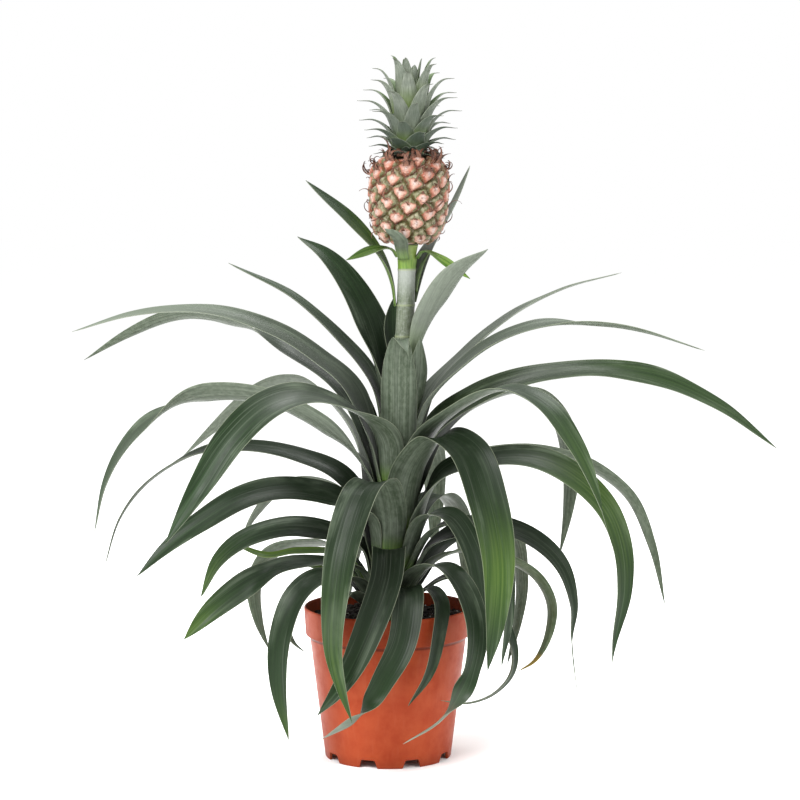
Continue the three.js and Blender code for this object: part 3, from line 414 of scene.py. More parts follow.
class Shader:
    """A material and short calls that add nodes to it."""

    def __init__(self, name, roughness, specular=0.5):
        self.material = bpy.data.materials.new(name)
        self.material.use_nodes = True
        self.tree = self.material.node_tree
        self.surface = self.tree.nodes["Principled BSDF"]
        self.surface.inputs["Roughness"].default_value = roughness
        self.surface.inputs["Specular IOR Level"].default_value = specular

    def node(self, kind, settings=None, **inputs):
        made = self.tree.nodes.new(kind)
        for key, value in (settings or {}).items():
            setattr(made, key, value)
        for key, value in inputs.items():
            self.put(made.inputs[key.replace("_", " ")], value)
        return made

    def put(self, socket, value):
        if isinstance(value, bpy.types.NodeSocket):
            self.tree.links.new(value, socket)
        else:
            socket.default_value = value

    def attribute(self, name, output="Vector"):
        return self.node("ShaderNodeAttribute", dict(attribute_name=name)).outputs[output]

    def split(self, vector):
        return self.node("ShaderNodeSeparateXYZ", Vector=vector).outputs

    def join(self, x, y, z):
        return self.node("ShaderNodeCombineXYZ", X=x, Y=y, Z=z).outputs[0]

    def math(self, operation, a, b=0.0):
        made = self.node("ShaderNodeMath", dict(operation=operation))
        self.put(made.inputs[0], a)
        self.put(made.inputs[1], b)
        return made.outputs[0]

    def times(self, a, b):
        return self.math("MULTIPLY", a, b)

    def size_of(self, a):
        return self.math("ABSOLUTE", a)

    def noise(self, vector, scale, detail=3.0, roughness=0.55):
        made = self.node("ShaderNodeTexNoise", Vector=vector, Scale=scale, Detail=detail,
                         Roughness=roughness)
        return made.outputs["Fac"]

    def range(self, value, low, high, to_low=0.0, to_high=1.0):
        made = self.node("ShaderNodeMapRange", dict(interpolation_type="SMOOTHSTEP"), Value=value)
        made.inputs["From Min"].default_value = low
        made.inputs["From Max"].default_value = high
        made.inputs["To Min"].default_value = to_low
        made.inputs["To Max"].default_value = to_high
        return made.outputs[0]

    def blend(self, share, a, b):
        made = self.node("ShaderNodeMix", dict(data_type="RGBA"))
        self.put(made.inputs[0], share)
        self.put(made.inputs[6], a)
        self.put(made.inputs[7], b)
        return made.outputs[2]

    def cover(self, base, colour, value, *limits):
        """The base with a colour over it, as far as the value lies within the limits of range."""
        return self.blend(self.range(value, *limits), base, colour)

    def bump(self, height, strength, distance):
        made = self.node("ShaderNodeBump", Height=height, Strength=strength, Distance=distance)
        self.put(self.surface.inputs["Normal"], made.outputs[0])

    def place(self):
        """Position on the object, in millimetres."""
        coordinates = self.node("ShaderNodeTexCoord").outputs["Object"]
        made = self.node("ShaderNodeVectorMath", dict(operation="SCALE"), Vector=coordinates)
        made.inputs["Scale"].default_value = 1 / MM
        return made.outputs[0]

    def colour(self, value):
        self.put(self.surface.inputs["Base Color"], value)

    def rough(self, value):
        self.put(self.surface.inputs["Roughness"], value)


def rgb(red, green, blue):
    """The linear paint that looks like a screen colour, given as 0 to 255, in the studio light."""
    def linear(value):
        v = value / 255
        return PAINT * (v / 12.92 if v <= 0.04045 else ((v + 0.055) / 1.055) ** 2.4)
    return np.array([linear(red), linear(green), linear(blue), 1.0])


# ---------------------------------------------------------------- materials

def leaf_material(name):
    """A waxy leaf. leaf_place holds millimetres across and along it, and a number of its own;
    leaf_part holds places from -1 to 1 across and 0 to 1 along it, and 1 on its upper side;
    leaf_look holds its tone and painted sheen, its freshness and painted glow, and how dry it is."""
    s = Shader(name, 0.42, 0.12)
    across_mm, along_mm, seed = s.split(s.attribute("leaf_place"))
    across, part, upper = s.split(s.attribute("leaf_part"))
    tone, fresh, dry = s.split(s.attribute("leaf_look"))
    own = s.times(seed, 7.0)

    def stripes(across_scale, along_scale, detail):
        x = s.times(across_mm, across_scale)
        y = s.times(along_mm, along_scale)
        return s.noise(s.join(x, y, own), 1.0, detail)

    fine = stripes(1.0, 0.01, 1.0)
    veins = stripes(0.55, 0.008, 1.0)
    broad = stripes(0.13, 0.008, 2.0)
    clouds = stripes(0.09, 0.03, 4.0)
    mottle = s.noise(s.join(across_mm, s.times(along_mm, 0.5), own), 0.4, 3.0, 0.6)
    lines = s.range(fine, 0.4, 0.62)
    # upper side: dark green near the stem, fresher further out, with grey in bands and along its edges:
    # partly the leaf's waxy bloom, partly painted sheen
    off_middle = s.size_of(across)
    top = s.cover(rgb(36, 50, 33), rgb(50, 76, 42), part, 0.3, 0.95)
    top = s.cover(top, rgb(27, 40, 24), veins, 0.4, 0.65, 0.0, 0.5)
    bloom_and_sheen = s.times(s.range(clouds, 0.4, 0.65, 0.05, 1.0),
                   s.range(broad, 0.47, 0.68, 0.05, 0.75))
    bloom_and_sheen = s.times(bloom_and_sheen, s.range(off_middle, 0.1, 0.8, 0.35, 1.0))
    top = s.blend(bloom_and_sheen, top, rgb(123, 138, 115))
    # under side: pale grey-green
    under = s.cover(rgb(95, 109, 87), rgb(126, 139, 118), mottle, 0.35, 0.65)
    under = s.cover(under, rgb(148, 160, 141), broad, 0.35, 0.7, 0.0, 0.4)
    under = s.cover(under, rgb(84, 94, 76), veins, 0.4, 0.7, 0.0, 0.35)
    both = s.blend(upper, under, top)
    both = s.blend(s.times(lines, 0.3), both, rgb(40, 54, 34))
    both = s.cover(both, rgb(176, 186, 166), fine, 0.42, 0.3, 0.0, 0.11)
    # fresh green of young growth and roots, which also paints the bands of painted glow
    bright = s.cover(rgb(140, 176, 74), rgb(94, 138, 44), veins, 0.35, 0.65)
    both = s.blend(s.times(fresh, 0.9), both, bright)
    # tone lightens or darkens the leaf; its pale bands are painted sheen
    both = s.blend(s.math("MAXIMUM", tone, 0.0), both, rgb(196, 204, 190))
    both = s.blend(s.math("MAXIMUM", s.times(tone, -1.0), 0.0), both, rgb(22, 30, 20))
    margin = s.range(off_middle, 0.965, 0.995, 0.0, 0.5)
    both = s.blend(margin, both, rgb(176, 184, 156))
    both = s.blend(dry, both, rgb(166, 146, 74))
    s.colour(both)
    s.rough(s.range(clouds, 0.3, 0.7, 0.32, 0.5))
    s.bump(veins, 0.5, 0.0005)
    return s.material


def crown_material():
    """The crown: grey-green outside, greener inside and towards its top."""
    s = Shader("crown_leaf", 0.5, 0.25)
    across_mm, along_mm, seed = s.split(s.attribute("leaf_place"))
    across, part, upper = s.split(s.attribute("leaf_part"))
    high, axil, shade = s.split(s.attribute("leaf_look"))
    own = s.times(seed, 5.0)
    fine = s.noise(s.join(across_mm, s.times(along_mm, 0.05), own), 2.2, 2.0)
    broad = s.noise(s.join(across_mm, along_mm, own), 0.14, 3.0)
    outside = s.blend(high, rgb(78, 94, 80), rgb(172, 180, 164))
    outside = s.cover(outside, rgb(104, 118, 102), broad, 0.3, 0.7, 0.0, 0.5)
    outside = s.cover(outside, rgb(74, 88, 70), fine, 0.42, 0.62, 0.0, 0.45)
    inside = s.blend(high, rgb(58, 76, 52), rgb(92, 116, 70))
    both = s.blend(upper, outside, inside)
    root = s.times(s.range(part, 0.05, 0.5, 1.0, 0.0), axil)
    both = s.blend(root, both, rgb(128, 156, 62))
    both = s.blend(s.times(s.range(part, 0.7, 1.0), 0.6), both, rgb(84, 84, 70))
    both = s.cover(both, rgb(170, 178, 156), s.size_of(across), 0.9, 0.99, 0.0, 0.5)
    both = s.blend(shade, both, rgb(24, 32, 20))
    s.colour(both)
    s.rough(s.range(broad, 0.2, 0.8, 0.42, 0.6))
    s.bump(fine, 0.4, 0.0004)
    return s.material


def fruit_material():
    """Painted with the colours worked out with the fruit's shape, with brown grain and pale flecks of
    painted highlight over them.
    """
    s = Shader("fruit_skin", 0.42, 0.3)
    paint = s.attribute("fruit_paint", "Color")
    place = s.place()
    grain = s.noise(place, 0.42, 5.0, 0.65)
    fibres_and_highlights = s.noise(place, 0.7, 4.0, 0.65)
    shade = s.cover(paint, rgb(118, 66, 40), grain, 0.5, 0.66, 0.0, 0.6)
    # pale flecks: painted highlights
    shade = s.cover(shade, rgb(246, 232, 214), fibres_and_highlights, 0.52, 0.7, 0.0, 0.45)
    s.colour(shade)
    s.rough(s.range(grain, 0.2, 0.8, 0.32, 0.6))
    s.bump(fibres_and_highlights, 0.5, 0.0006)
    return s.material


def bract_tip_material():
    """The dried tips of the fruit's bracts."""
    s = Shader("dry_bract", 0.6)
    across, part = s.split(s.attribute("leaf_part"))[:2]
    grain = s.noise(s.place(), 1.6, 3.0)
    edge = s.range(s.size_of(across), 0.5, 0.95, 0.0, 0.6)
    dry = s.cover(rgb(160, 100, 68), rgb(98, 56, 36), grain, 0.35, 0.65)
    dry = s.blend(edge, dry, rgb(80, 40, 26))
    dry = s.cover(dry, rgb(206, 146, 118), part, 0.0, 0.3, 0.6, 0.0)
    dry = s.cover(dry, rgb(76, 36, 22), part, 0.6, 1.0, 0.0, 0.75)
    s.colour(dry)
    s.bump(grain, 0.4, 0.0004)
    return s.material


def stem_material():
    """Grey-green and mottled, with a fresh green ring under the fruit."""
    s = Shader("stalk", 0.5)
    place = s.place()
    x, y, z = s.split(place)
    stretched = s.join(x, y, s.times(z, 0.12))
    fine = s.noise(stretched, 0.9, 3.0)
    spots = s.noise(place, 0.45, 6.0, 0.7)
    base = s.cover(rgb(136, 147, 122), rgb(104, 118, 88), fine, 0.35, 0.65)
    base = s.cover(base, rgb(190, 196, 186), spots, 0.45, 0.65, 0.0, 0.45)
    low_node, middle_node, top_node = STALK_NODES
    ring = s.range(z, top_node, top_node + 1.4)
    fresh = s.cover(rgb(142, 176, 66), rgb(106, 148, 44), fine, 0.3, 0.7)
    fresh = s.cover(fresh, rgb(186, 202, 120), z, top_node + 6, top_node + 13, 0.0, 0.45)
    base = s.blend(ring, base, fresh)
    powder = s.times(s.range(z, middle_node, top_node - 1), s.range(z, top_node + 0.6, top_node - 0.4))
    base = s.blend(s.times(powder, 0.6), base, rgb(208, 214, 208))
    for node in STALK_NODES:
        near = s.size_of(s.math("SUBTRACT", z, float(node)))
        base = s.cover(base, rgb(178, 190, 140), near, 0.3, 1.1, 0.5, 0.0)
    base = s.cover(base, rgb(104, 130, 60), z, low_node - 38, low_node + 5, 0.8, 0.0)
    s.colour(base)
    s.bump(fine, 0.3, 0.0004)
    return s.material


def soil_material(name):
    """Dark moist compost."""
    s = Shader(name, 0.9, 0.3)
    place = s.place()
    grain = s.noise(place, 0.8, 6.0, 0.7)
    flecks = s.noise(place, 0.5, 2.0)
    base = s.cover(rgb(22, 17, 14), rgb(62, 48, 38), grain, 0.3, 0.7)
    base = s.cover(base, rgb(92, 70, 50), flecks, 0.6, 0.75, 0.0, 0.6)
    s.colour(base)
    s.bump(grain, 0.8, 0.001)
    return s.material


def speck_material():
    """Pale mineral grains in the compost."""
    s = Shader("mineral_grain", 0.8)
    grain = s.noise(s.place(), 1.2, 4.0)
    s.colour(s.blend(grain, rgb(198, 194, 184), rgb(236, 234, 228)))
    s.bump(grain, 0.5, 0.0005)
    return s.material


def pot_material():
    """Moulded terracotta-coloured plastic, with a fine grain, a few dull marks, darker towards the
    bottom, and a painted shadow under the collar.
    """
    s = Shader("pot_plastic", 0.42, 0.1)
    place = s.place()
    x, y, z = s.split(place)
    grain = s.noise(place, 2.2, 3.0)
    marks = s.noise(place, 0.07, 5.0, 0.65)
    streaks = s.noise(s.join(x, y, s.times(z, 0.08)), 0.35, 4.0)
    base = s.cover(rgb(210, 92, 52), rgb(194, 76, 40), marks, 0.35, 0.7)
    base = s.cover(base, rgb(216, 110, 74), streaks, 0.5, 0.75, 0.0, 0.3)
    base = s.cover(base, rgb(130, 58, 36), z, 0.0, 9.0, 0.25, 0.0)
    # painted shadow: a dark band at the step under the collar
    step = s.size_of(s.math("SUBTRACT", z, COLLAR_FOOT + 0.6))
    base = s.cover(base, rgb(96, 34, 18), step, 0.5, 2.2, 0.75, 0.0)
    s.colour(base)
    s.rough(s.range(marks, 0.3, 0.75, 0.36, 0.52))
    s.bump(grain, 0.12, 0.0003)
    return s.material


# ---------------------------------------------------------------- leaves

def curve_through(points):
    """A centripetal curve through points, as many close places along it."""
    points = np.asarray(points, dtype=float)
    first = 2 * points[0] - points[1]
    last = 2 * points[-1] - points[-2]
    padded = np.vstack([first, points, last])
    pieces = []
    s = np.linspace(0, 1, CURVE_STEPS, endpoint=False)[:, None]
    for p0, p1, p2, p3 in zip(padded, padded[1:], padded[2:], padded[3:]):
        d0, d1, d2 = (math.sqrt(np.linalg.norm(b - a)) for a, b in ((p0, p1), (p1, p2), (p2, p3)))
        t1 = ((p1 - p0) / d0 - (p2 - p0) / (d0 + d1) + (p2 - p1) / d1) * d1
        t2 = ((p2 - p1) / d1 - (p3 - p1) / (d1 + d2) + (p3 - p2) / d2) * d1
        cubic = 2 * p1 - 2 * p2 + t1 + t2
        square = -3 * p1 + 3 * p2 - 2 * t1 - t2
        pieces.append(p1 + t1 * s + square * s ** 2 + cubic * s ** 3)
    pieces.append(points[-1:])
    return np.vstack(pieces)


def stations_on(path, step):
    """Places, directions and distances along a path at an even step."""
    run = np.concatenate([[0], np.cumsum(np.linalg.norm(np.diff(path, axis=0), axis=1))])
    count = max(int(run[-1] / step), LEAF_LEAST_STEPS)
    distance = np.linspace(0, run[-1], count + 1)
    place = np.stack([np.interp(distance, run, path[:, k]) for k in range(3)], 1)
    tangent = np.gradient(path, run, axis=0)
    ahead = unit(np.stack([np.interp(distance, run, tangent[:, k]) for k in range(3)], 1))
    return place, ahead, distance


def leaf_line(azimuth, root_height, points):
    """The middle line of a leaf, in the plant's space."""
    out, side = outward(azimuth), sideways(azimuth)
    stem_radius = along(STEM_PROFILE, root_height)
    start = np.array([points[0][0] - stem_radius, points[0][1] - root_height])
    steep = start[1] / np.linalg.norm(start)
    root_out = stem_radius + LEAF_SEAT + LEAF_THICKNESS / 2 * steep
    places = []
    for point in [[root_out, root_height], *points]:
        distance, height, side_step = (*point, 0)[:3]
        places.append([lean_at(height), 0, height] + out * distance + side * side_step)
    return curve_through(places)


def blade(middle, normal, thickness, v, half, run, t, seed):
    """A closed thin blade over rows of places: its points and faces, then for each point its
    millimetres across and along with the seed, and its shares across and along with its side."""
    top = middle + normal * thickness[..., None] / 2
    bottom = middle - normal * thickness[..., None] / 2
    rings = np.concatenate([top, bottom[:, ::-1]], axis=1)
    count, ring = rings.shape[:2]

    def spread(values):
        return np.broadcast_to(values, (count, ring))

    both = np.concatenate([v, v[::-1]])
    is_upper = np.repeat([1.0, 0.0], len(v))
    place = np.stack([both * half[:, None], spread(run[:, None]), spread(float(seed))], -1)
    part = np.stack([spread(both), spread(t[:, None]), spread(is_upper)], -1)
    return rings.reshape(-1, 3), blade_faces(count, ring), place.reshape(-1, 3), part.reshape(-1, 3)


def blade_faces(count, ring):
    """Faces of a closed blade whose rings have an upper row and an under row."""
    faces = [face[::-1] for face in ring_faces(count, ring)]
    half = ring // 2
    last = (count - 1) * ring
    for j in range(half - 1):
        k = ring - 1 - j
        faces.append([j, j + 1, k - 1, k])
        faces.append([last + k, last + k - 1, last + j + 1, last + j])
    return faces


def leaf_mesh(seed, azimuth, width, root_height, points, root=None, face=0, tip_face=None,
              turn_at=0.6, taper=LEAF_TAPER, thread=1):
    """The blade of one row of leaves: it grows round the stem, opens and then turns its face."""
    root = width if root is None else root
    tip_face = face if tip_face is None else tip_face
    place, ahead, distance = stations_on(leaf_line(azimuth, root_height, points), LEAF_STEP)
    length = distance[-1]
    t = distance / length
    side = np.broadcast_to(sideways(azimuth), ahead.shape)
    across = unit(side - ahead * (side * ahead).sum(1, keepdims=True))
    turn = mix(face, tip_face, smooth((t - turn_at) / LEAF_TWIST_SPAN + 0.5))
    turn_start, turn_end = np.minimum(LEAF_TURN, length * np.array(SHORT_LEAF_TURN))
    is_open = smooth((distance - turn_start) / (turn_end - turn_start))
    to_front = np.sign(math.sin(math.radians(azimuth)))
    across = turned(across, ahead, np.radians(turn) * to_front * is_open)
    upper = np.cross(ahead, across)
    narrowing = 1 - np.minimum(t / thread, 1) ** taper
    broad = mix(root, width, smooth(distance / LEAF_FLARE)) * narrowing
    half = np.maximum(broad / 2, mix(*TIP_HALF_WIDTHS, late(t, TIP_START)))
    from_stem = np.hypot(place[:, 0] - lean_at(place[:, 2]), place[:, 1])
    bend = np.clip(half / from_stem, math.radians(LEAF_CHANNEL), math.radians(LEAF_WRAP))
    radius = half / bend
    sink = radius * (1 - np.cos(bend)) * is_open / 2
    middle = mix(LEAF_THICKNESS, LEAF_EDGE, late(t, LEAF_THIN_START))
    v = np.sin(np.linspace(-math.pi / 2, math.pi / 2, LEAF_CELLS + 1))
    angle = bend[:, None] * v
    thickness = mix(middle[:, None], LEAF_EDGE, v ** 2)
    thickness = mix(thickness, MARGIN_THICKNESS, late(np.abs(v), MARGIN_START))
    over_half, least = TIP_THICKNESS
    thickness = np.minimum(thickness, np.maximum(half[:, None] * over_half, least))
    ripple = sum(high * np.sin(distance / long + shift * seed)[:, None] * v ** power
                 for high, long, shift, power in RIPPLES)
    ripple = ripple * (is_open * np.minimum(half / RIPPLE_HALF_WIDTH, 1))[:, None]
    arc_out = radius[:, None] * np.sin(angle)
    arc_up = radius[:, None] * (1 - np.cos(angle)) - sink[:, None] + ripple
    spots = place[:, None] + across[:, None] * arc_out[..., None] + upper[:, None] * arc_up[..., None]
    normal = upper[:, None] * np.cos(angle)[..., None] - across[:, None] * np.sin(angle)[..., None]
    return blade(spots, normal, thickness, v, half, distance, t, seed)


def band(t, middle, half_length, strength):
    """A soft band across a leaf: strongest at its middle, gone a little past its half length."""
    return strength * np.exp(-((t - middle) / half_length) ** 2)


def leaf_look(distance, t, tone=0.0, green=0.0, root=ROOT_GREEN, painted_glow=(0, 1, 0), pale=(0, 1, 0),
              dry=0.0):
    """Tone and painted sheen, freshness and painted glow, and dryness of a leaf's points at these
    distances and shares of its length.
    """
    fresh = np.maximum(green, ROOT_FRESHNESS * (1 - smooth(distance / root)))
    # painted glow: bands of bright fresh green that stand in for light
    fresh = np.maximum(fresh, band(t, *painted_glow))
    dried = smooth((t - 1 + dry) / DRY_FADE) if dry else 0 * t
    # painted sheen: the pale bands lighten the tone
    return np.stack([tone + band(t, *pale), fresh, dried], -1)


def make_leaves():
    """Each leaf and bract, in the order of the rows: the seed of a blade is its place in it."""
    rows = [("leaf", f"{group}_{number}", row) for group, leaves in LEAVES.items()
            for number, row in enumerate(leaves, 1)]
    rows += [("bract", name, row) for name, row in BRACTS.items()]
    materials = {kind: leaf_material(kind) for kind in ("leaf", "bract")}
    for seed, (kind, name, row) in enumerate(rows):
        azimuth, width, root_height, line, shape, look = (*row, {}, {})[:6]
        points, faces, place, part = leaf_mesh(seed, azimuth, width, root_height, line, **shape)
        node = f"{kind}_{name}"
        make_piece(node + "_blade", points, faces, materials[kind], [node], {
            "leaf_place": place, "leaf_part": part,
            "leaf_look": leaf_look(place[:, 1], part[:, 1], **look)})


# ---------------------------------------------------------------- pot

def body_radius(z):
    """Outer radius of the pot's body under the collar."""
    top = POT_RIM_RADIUS - COLLAR_TAPER - COLLAR_STEP
    return mix(POT_BASE_RADIUS, top, z / COLLAR_FOOT)


def inside_of_pot():
    """The pot's inner wall, from the rim down to the floor."""
    inner = POT_RIM_RADIUS - POT_WALL
    fillet_width, fillet_height = FLOOR_FILLET
    return [
        [inner, POT_HEIGHT - LIP_DROPS[1]],
        [inner - COLLAR_TAPER, COLLAR_FOOT + INNER_STEP],
        [body_radius(COLLAR_FOOT - INNER_STEP) - POT_WALL, COLLAR_FOOT - INNER_STEP],
        [body_radius(FLOOR_UNDERSIDE + fillet_height) - POT_WALL, FLOOR_UNDERSIDE + fillet_height],
        [body_radius(FLOOR_UNDERSIDE) - POT_WALL - fillet_width, FLOOR_UNDERSIDE + POT_WALL],
    ]


def rounded(profile, radius, steps=4, most_share=2.2):
    """The profile with each corner replaced by a short arc, which leaves some of each side."""
    made = [profile[0]]
    for before, corner, after in zip(profile, profile[1:], profile[2:]):
        before, corner, after = (np.array(p, dtype=float) for p in (before, corner, after))
        shorter = min(np.linalg.norm(before - corner), np.linalg.norm(after - corner))
        reach = min(radius, shorter / most_share)
        start = corner + unit(before - corner) * reach
        end = corner + unit(after - corner) * reach
        for i in range(steps + 1):
            u = i / steps
            made.append(list((1 - u) ** 2 * start + 2 * u * (1 - u) * corner + u ** 2 * end))
    made.append(profile[-1])
    return made


def turn_profile(profile, sides):
    """Points and faces of a body of revolution whose profile starts and ends on the axis."""
    angle = around(sides)
    circle = np.stack([np.cos(angle), np.sin(angle), np.zeros(sides)], 1)
    rings = [circle * radius + UP * z for radius, z in profile[1:-1]]
    points = np.vstack([*rings, [UP * profile[0][1]], [UP * profile[-1][1]]])
    count = len(rings)
    faces = ring_faces(count, sides)
    first, last = count * sides, count * sides + 1
    for j in range(sides):
        k = (j + 1) % sides
        faces.append([first, k, j])
        faces.append([last, (count - 1) * sides + j, (count - 1) * sides + k])
    return points, faces


def notch_cutter(azimuth):
    """Points and faces of a wedge that reaches through the pot's foot ring."""
    out, side = outward(azimuth), sideways(azimuth)
    past, bevel = NOTCH_CORNER
    foot, shoulder = NOTCH_WIDTH_BOTTOM / 2, NOTCH_WIDTH_TOP / 2 + past
    outline = [[-foot, -1], [foot, -1], [shoulder, NOTCH_HEIGHT - bevel],
               [shoulder - bevel, NOTCH_HEIGHT], [bevel - shoulder, NOTCH_HEIGHT],
               [-shoulder, NOTCH_HEIGHT - bevel]]
    points = [side * x + UP * z + out * distance
              for distance in (POT_BASE_RADIUS - NOTCH_REACH, POT_BASE_RADIUS + NOTCH_REACH)
              for x, z in outline]
    n = len(outline)
    faces = [list(range(n - 1, -1, -1)), list(range(n, 2 * n))]
    faces += [[j, (j + 1) % n, (j + 1) % n + n, j + n] for j in range(n)]
    return points, faces


def make_pot():
    """The pot, turned in one piece, with its drainage notches cut out of the foot ring."""
    outside = [
        [0, 0], [BOSS_RADIUS, 0], [BOSS_RADIUS, FLOOR_UNDERSIDE],
        [POT_BASE_RADIUS - POT_WALL, FLOOR_UNDERSIDE], [POT_BASE_RADIUS - POT_WALL - FOOT_DRAFT, 0],
        [POT_BASE_RADIUS, 0], [body_radius(COLLAR_FOOT), COLLAR_FOOT],
        [POT_RIM_RADIUS - COLLAR_TAPER, COLLAR_FOOT + COLLAR_SLOPE],
        [POT_RIM_RADIUS, POT_HEIGHT - LIP_DROPS[0]],
        [POT_RIM_RADIUS - POT_WALL / 2, POT_HEIGHT],
    ]
    floor = [0, FLOOR_UNDERSIDE + POT_WALL]
    profile = rounded([*outside, *inside_of_pot(), floor], POT_ROUNDING)
    points, faces = turn_profile(profile, POT_SIDES)
    plastic = pot_material()
    pot = make_piece("pot_shell", points, faces, plastic, ["pot"])
    cut_points, cut_faces = [], []
    for i in range(NOTCH_COUNT):
        wedge, wedge_faces = notch_cutter(NOTCH_FIRST_AZIMUTH + i * 360 / NOTCH_COUNT)
        cut_faces += shifted(wedge_faces, len(cut_points))
        cut_points += wedge
    cutter = make_piece("notches", cut_points, cut_faces, plastic)
    cut = pot.modifiers.new("notches", "BOOLEAN")
    cut.operation = "DIFFERENCE"
    cut.solver = "EXACT"
    cut.object = cutter
    bpy.context.view_layer.update()
    shape = bpy.data.meshes.new_from_object(
        pot.evaluated_get(bpy.context.evaluated_depsgraph_get()))
    pot.modifiers.clear()
    pot.data = shape
    bpy.data.objects.remove(cutter)
    shape.set_sharp_from_angle(angle=math.radians(POT_SHARP_ANGLE))


# ---------------------------------------------------------------- soil

def lump(x, y):
    """How far the soil's top rises or falls at a place, as a sum of uneven waves."""
    waves = np.sin(x * 0.21 + 1.3) * np.cos(y * 0.19 - 0.4)
    waves = waves + 0.6 * np.sin(x * 0.43 - y * 0.37 + 2.1) + 0.4 * np.cos(x * 0.11 + y * 0.51)
    return SOIL_LUMP * waves / 2


def soil_radius():
    """Radius of the soil's top edge."""
    rim, step = inside_of_pot()[:2]
    return along([step[::-1], rim[::-1]], SOIL_TOP) - GAP


def crumb_shape():
    """A small rough ball: an icosahedron's points and faces."""
    g = (1 + math.sqrt(5)) / 2
    corners = [(-1, g, 0), (1, g, 0), (-1, -g, 0), (1, -g, 0), (0, -1, g), (0, 1, g),
               (0, -1, -g), (0, 1, -g), (g, 0, -1), (g, 0, 1), (-g, 0, -1), (-g, 0, 1)]
    faces = [(0, 11, 5), (0, 5, 1), (0, 1, 7), (0, 7, 10), (0, 10, 11), (1, 5, 9), (5, 11, 4),
             (11, 10, 2), (10, 7, 6), (7, 1, 8), (3, 9, 4), (3, 4, 2), (3, 2, 6), (3, 6, 8),
             (3, 8, 9), (4, 9, 5), (2, 4, 11), (6, 2, 10), (8, 6, 7), (9, 8, 1)]
    return unit(np.array(corners, dtype=float)), faces


def scatter_crumbs(name, material, count, sizes, seed):
    """Grains pressed into the soil's surface, as one piece."""
    draw = random.Random(seed)
    corners, ball_faces = crumb_shape()
    points, faces = [], []
    outer = soil_radius()
    for _ in range(count):
        size = draw.uniform(*sizes) * draw.uniform(0.6, 1.0)
        radius = math.sqrt(draw.uniform(0.09, 1)) * (outer - size - 0.5)
        angle = draw.uniform(0, 2 * math.pi)
        x, y = radius * math.cos(angle), radius * math.sin(angle)
        stretch = np.array([draw.uniform(0.7, 1.3), draw.uniform(0.7, 1.3), draw.uniform(0.5, 0.9)])
        rough = np.array([draw.uniform(0.75, 1.15) for _ in corners])[:, None]
        centre = np.array([x, y, SOIL_TOP + lump(x, y) + size * CRUMB_SIT])
        faces += shifted(ball_faces, len(points))
        points += list(corners * rough * stretch * size + centre)
    make_piece(name, points, faces, material)


def make_soil():
    """The soil, with the hole that the stem stands in, and the loose crumbs on top."""
    wall = [[radius - GAP, z] for radius, z in reversed(inside_of_pot()[1:])]
    bottom = FLOOR_UNDERSIDE + POT_WALL + GAP
    wall[0][1] = bottom
    hole = along(STEM_PROFILE, SOIL_TOP) + 2 * GAP
    tops = [[radius, SOIL_TOP] for radius in np.linspace(soil_radius(), hole + 1, SOIL_RINGS)]
    profile = [[0, bottom], *wall, *tops, [hole, SOIL_TOP - 3], [hole, STEM_HOLE_FLOOR],
               [0, STEM_HOLE_FLOOR]]
    points, faces = turn_profile(profile, SOIL_SIDES)
    on_top = np.abs(points[:, 2] - SOIL_TOP) < 1e-6
    x, y = points[on_top, 0], points[on_top, 1]
    fine = 0.35 * np.sin(x * 1.9 + 0.7 * y) * np.cos(y * 1.7 - 0.6 * x)
    points[on_top, 2] += lump(x, y) + fine
    make_piece("soil_fill", points, faces, soil_material("compost"), ["soil"])
    scatter_crumbs("soil_crumbs", soil_material("compost_crumb"), CRUMBS, CRUMB_SIZES, 4)
    scatter_crumbs("soil_grains", speck_material(), SOIL_GRAINS, GRAIN_SIZES, 9)


# ---------------------------------------------------------------- stem

def make_stem():
    """The stem and the fruit's stalk, faintly ribbed and swollen at its nodes."""
    heights = np.linspace(STEM_PROFILE[0][0], STEM_TOP, STEM_RINGS)
    radius = along(STEM_PROFILE, heights)
    swell, half_length = NODE_SWELL
    for node in STALK_NODES:
        radius = radius + swell * np.exp(-((heights - node) / half_length) ** 2)
    angle = around(STEM_SIDES)
    ribs = 1 + 0.012 * np.cos(angle * 5)[None] + 0.006 * np.sin(angle * 11)[None]
    x = radius[:, None] * np.cos(angle) * ribs + lean_at(heights)[:, None]
    y = radius[:, None] * np.sin(angle) * ribs
    z = np.broadcast_to(heights[:, None], x.shape)
    points = np.stack([x, y, z], -1).reshape(-1, 3)
    faces = tube_faces(len(heights), STEM_SIDES)
    make_piece("stem_stalk", points, faces, stem_material(), ["stem"])


# ---------------------------------------------------------------- fruit

def walk_outline():
    """The fruit's outline in small steps: radius, height, skin area so far, and the flattened
    height q at which its surface becomes a sphere's without changing angles."""
    p = np.array(FRUIT_OUTLINE, dtype=float)
    n = len(p)
    spots = []
    for i in range(FRUIT_WALK + 1):
        u = (n - 1) * i / FRUIT_WALK
        k = min(int(u), n - 2) if i < FRUIT_WALK else n - 1
        t = u - k
        p0 = p[k - 1] if k > 0 else p[0]
        p1 = p[k]
        p2 = p[min(k + 1, n - 1)]
        p3 = p[min(k + 2, n - 1)]
        v0 = (p2 - p0) / 2
        v1 = (p3 - p1) / 2
        spots.append((2 * p1 - 2 * p2 + v0 + v1) * t ** 3 + (3 * p2 - 3 * p1 - 2 * v0 - v1) * t ** 2
                     + v0 * t + p1)
    spots = np.array(spots)
    step = np.concatenate([[0], np.linalg.norm(np.diff(spots, axis=0), axis=1)])
    before = np.vstack([spots[:1], spots[:-1]])
    radius = np.maximum((spots[:, 0] + before[:, 0]) / 2, 0.05)
    return dict(radius=np.maximum(spots[:, 0], 0), z=spots[:, 1],
                area=np.cumsum(2 * math.pi * radius * step), q=np.cumsum(step / radius),
                run=np.cumsum(step))


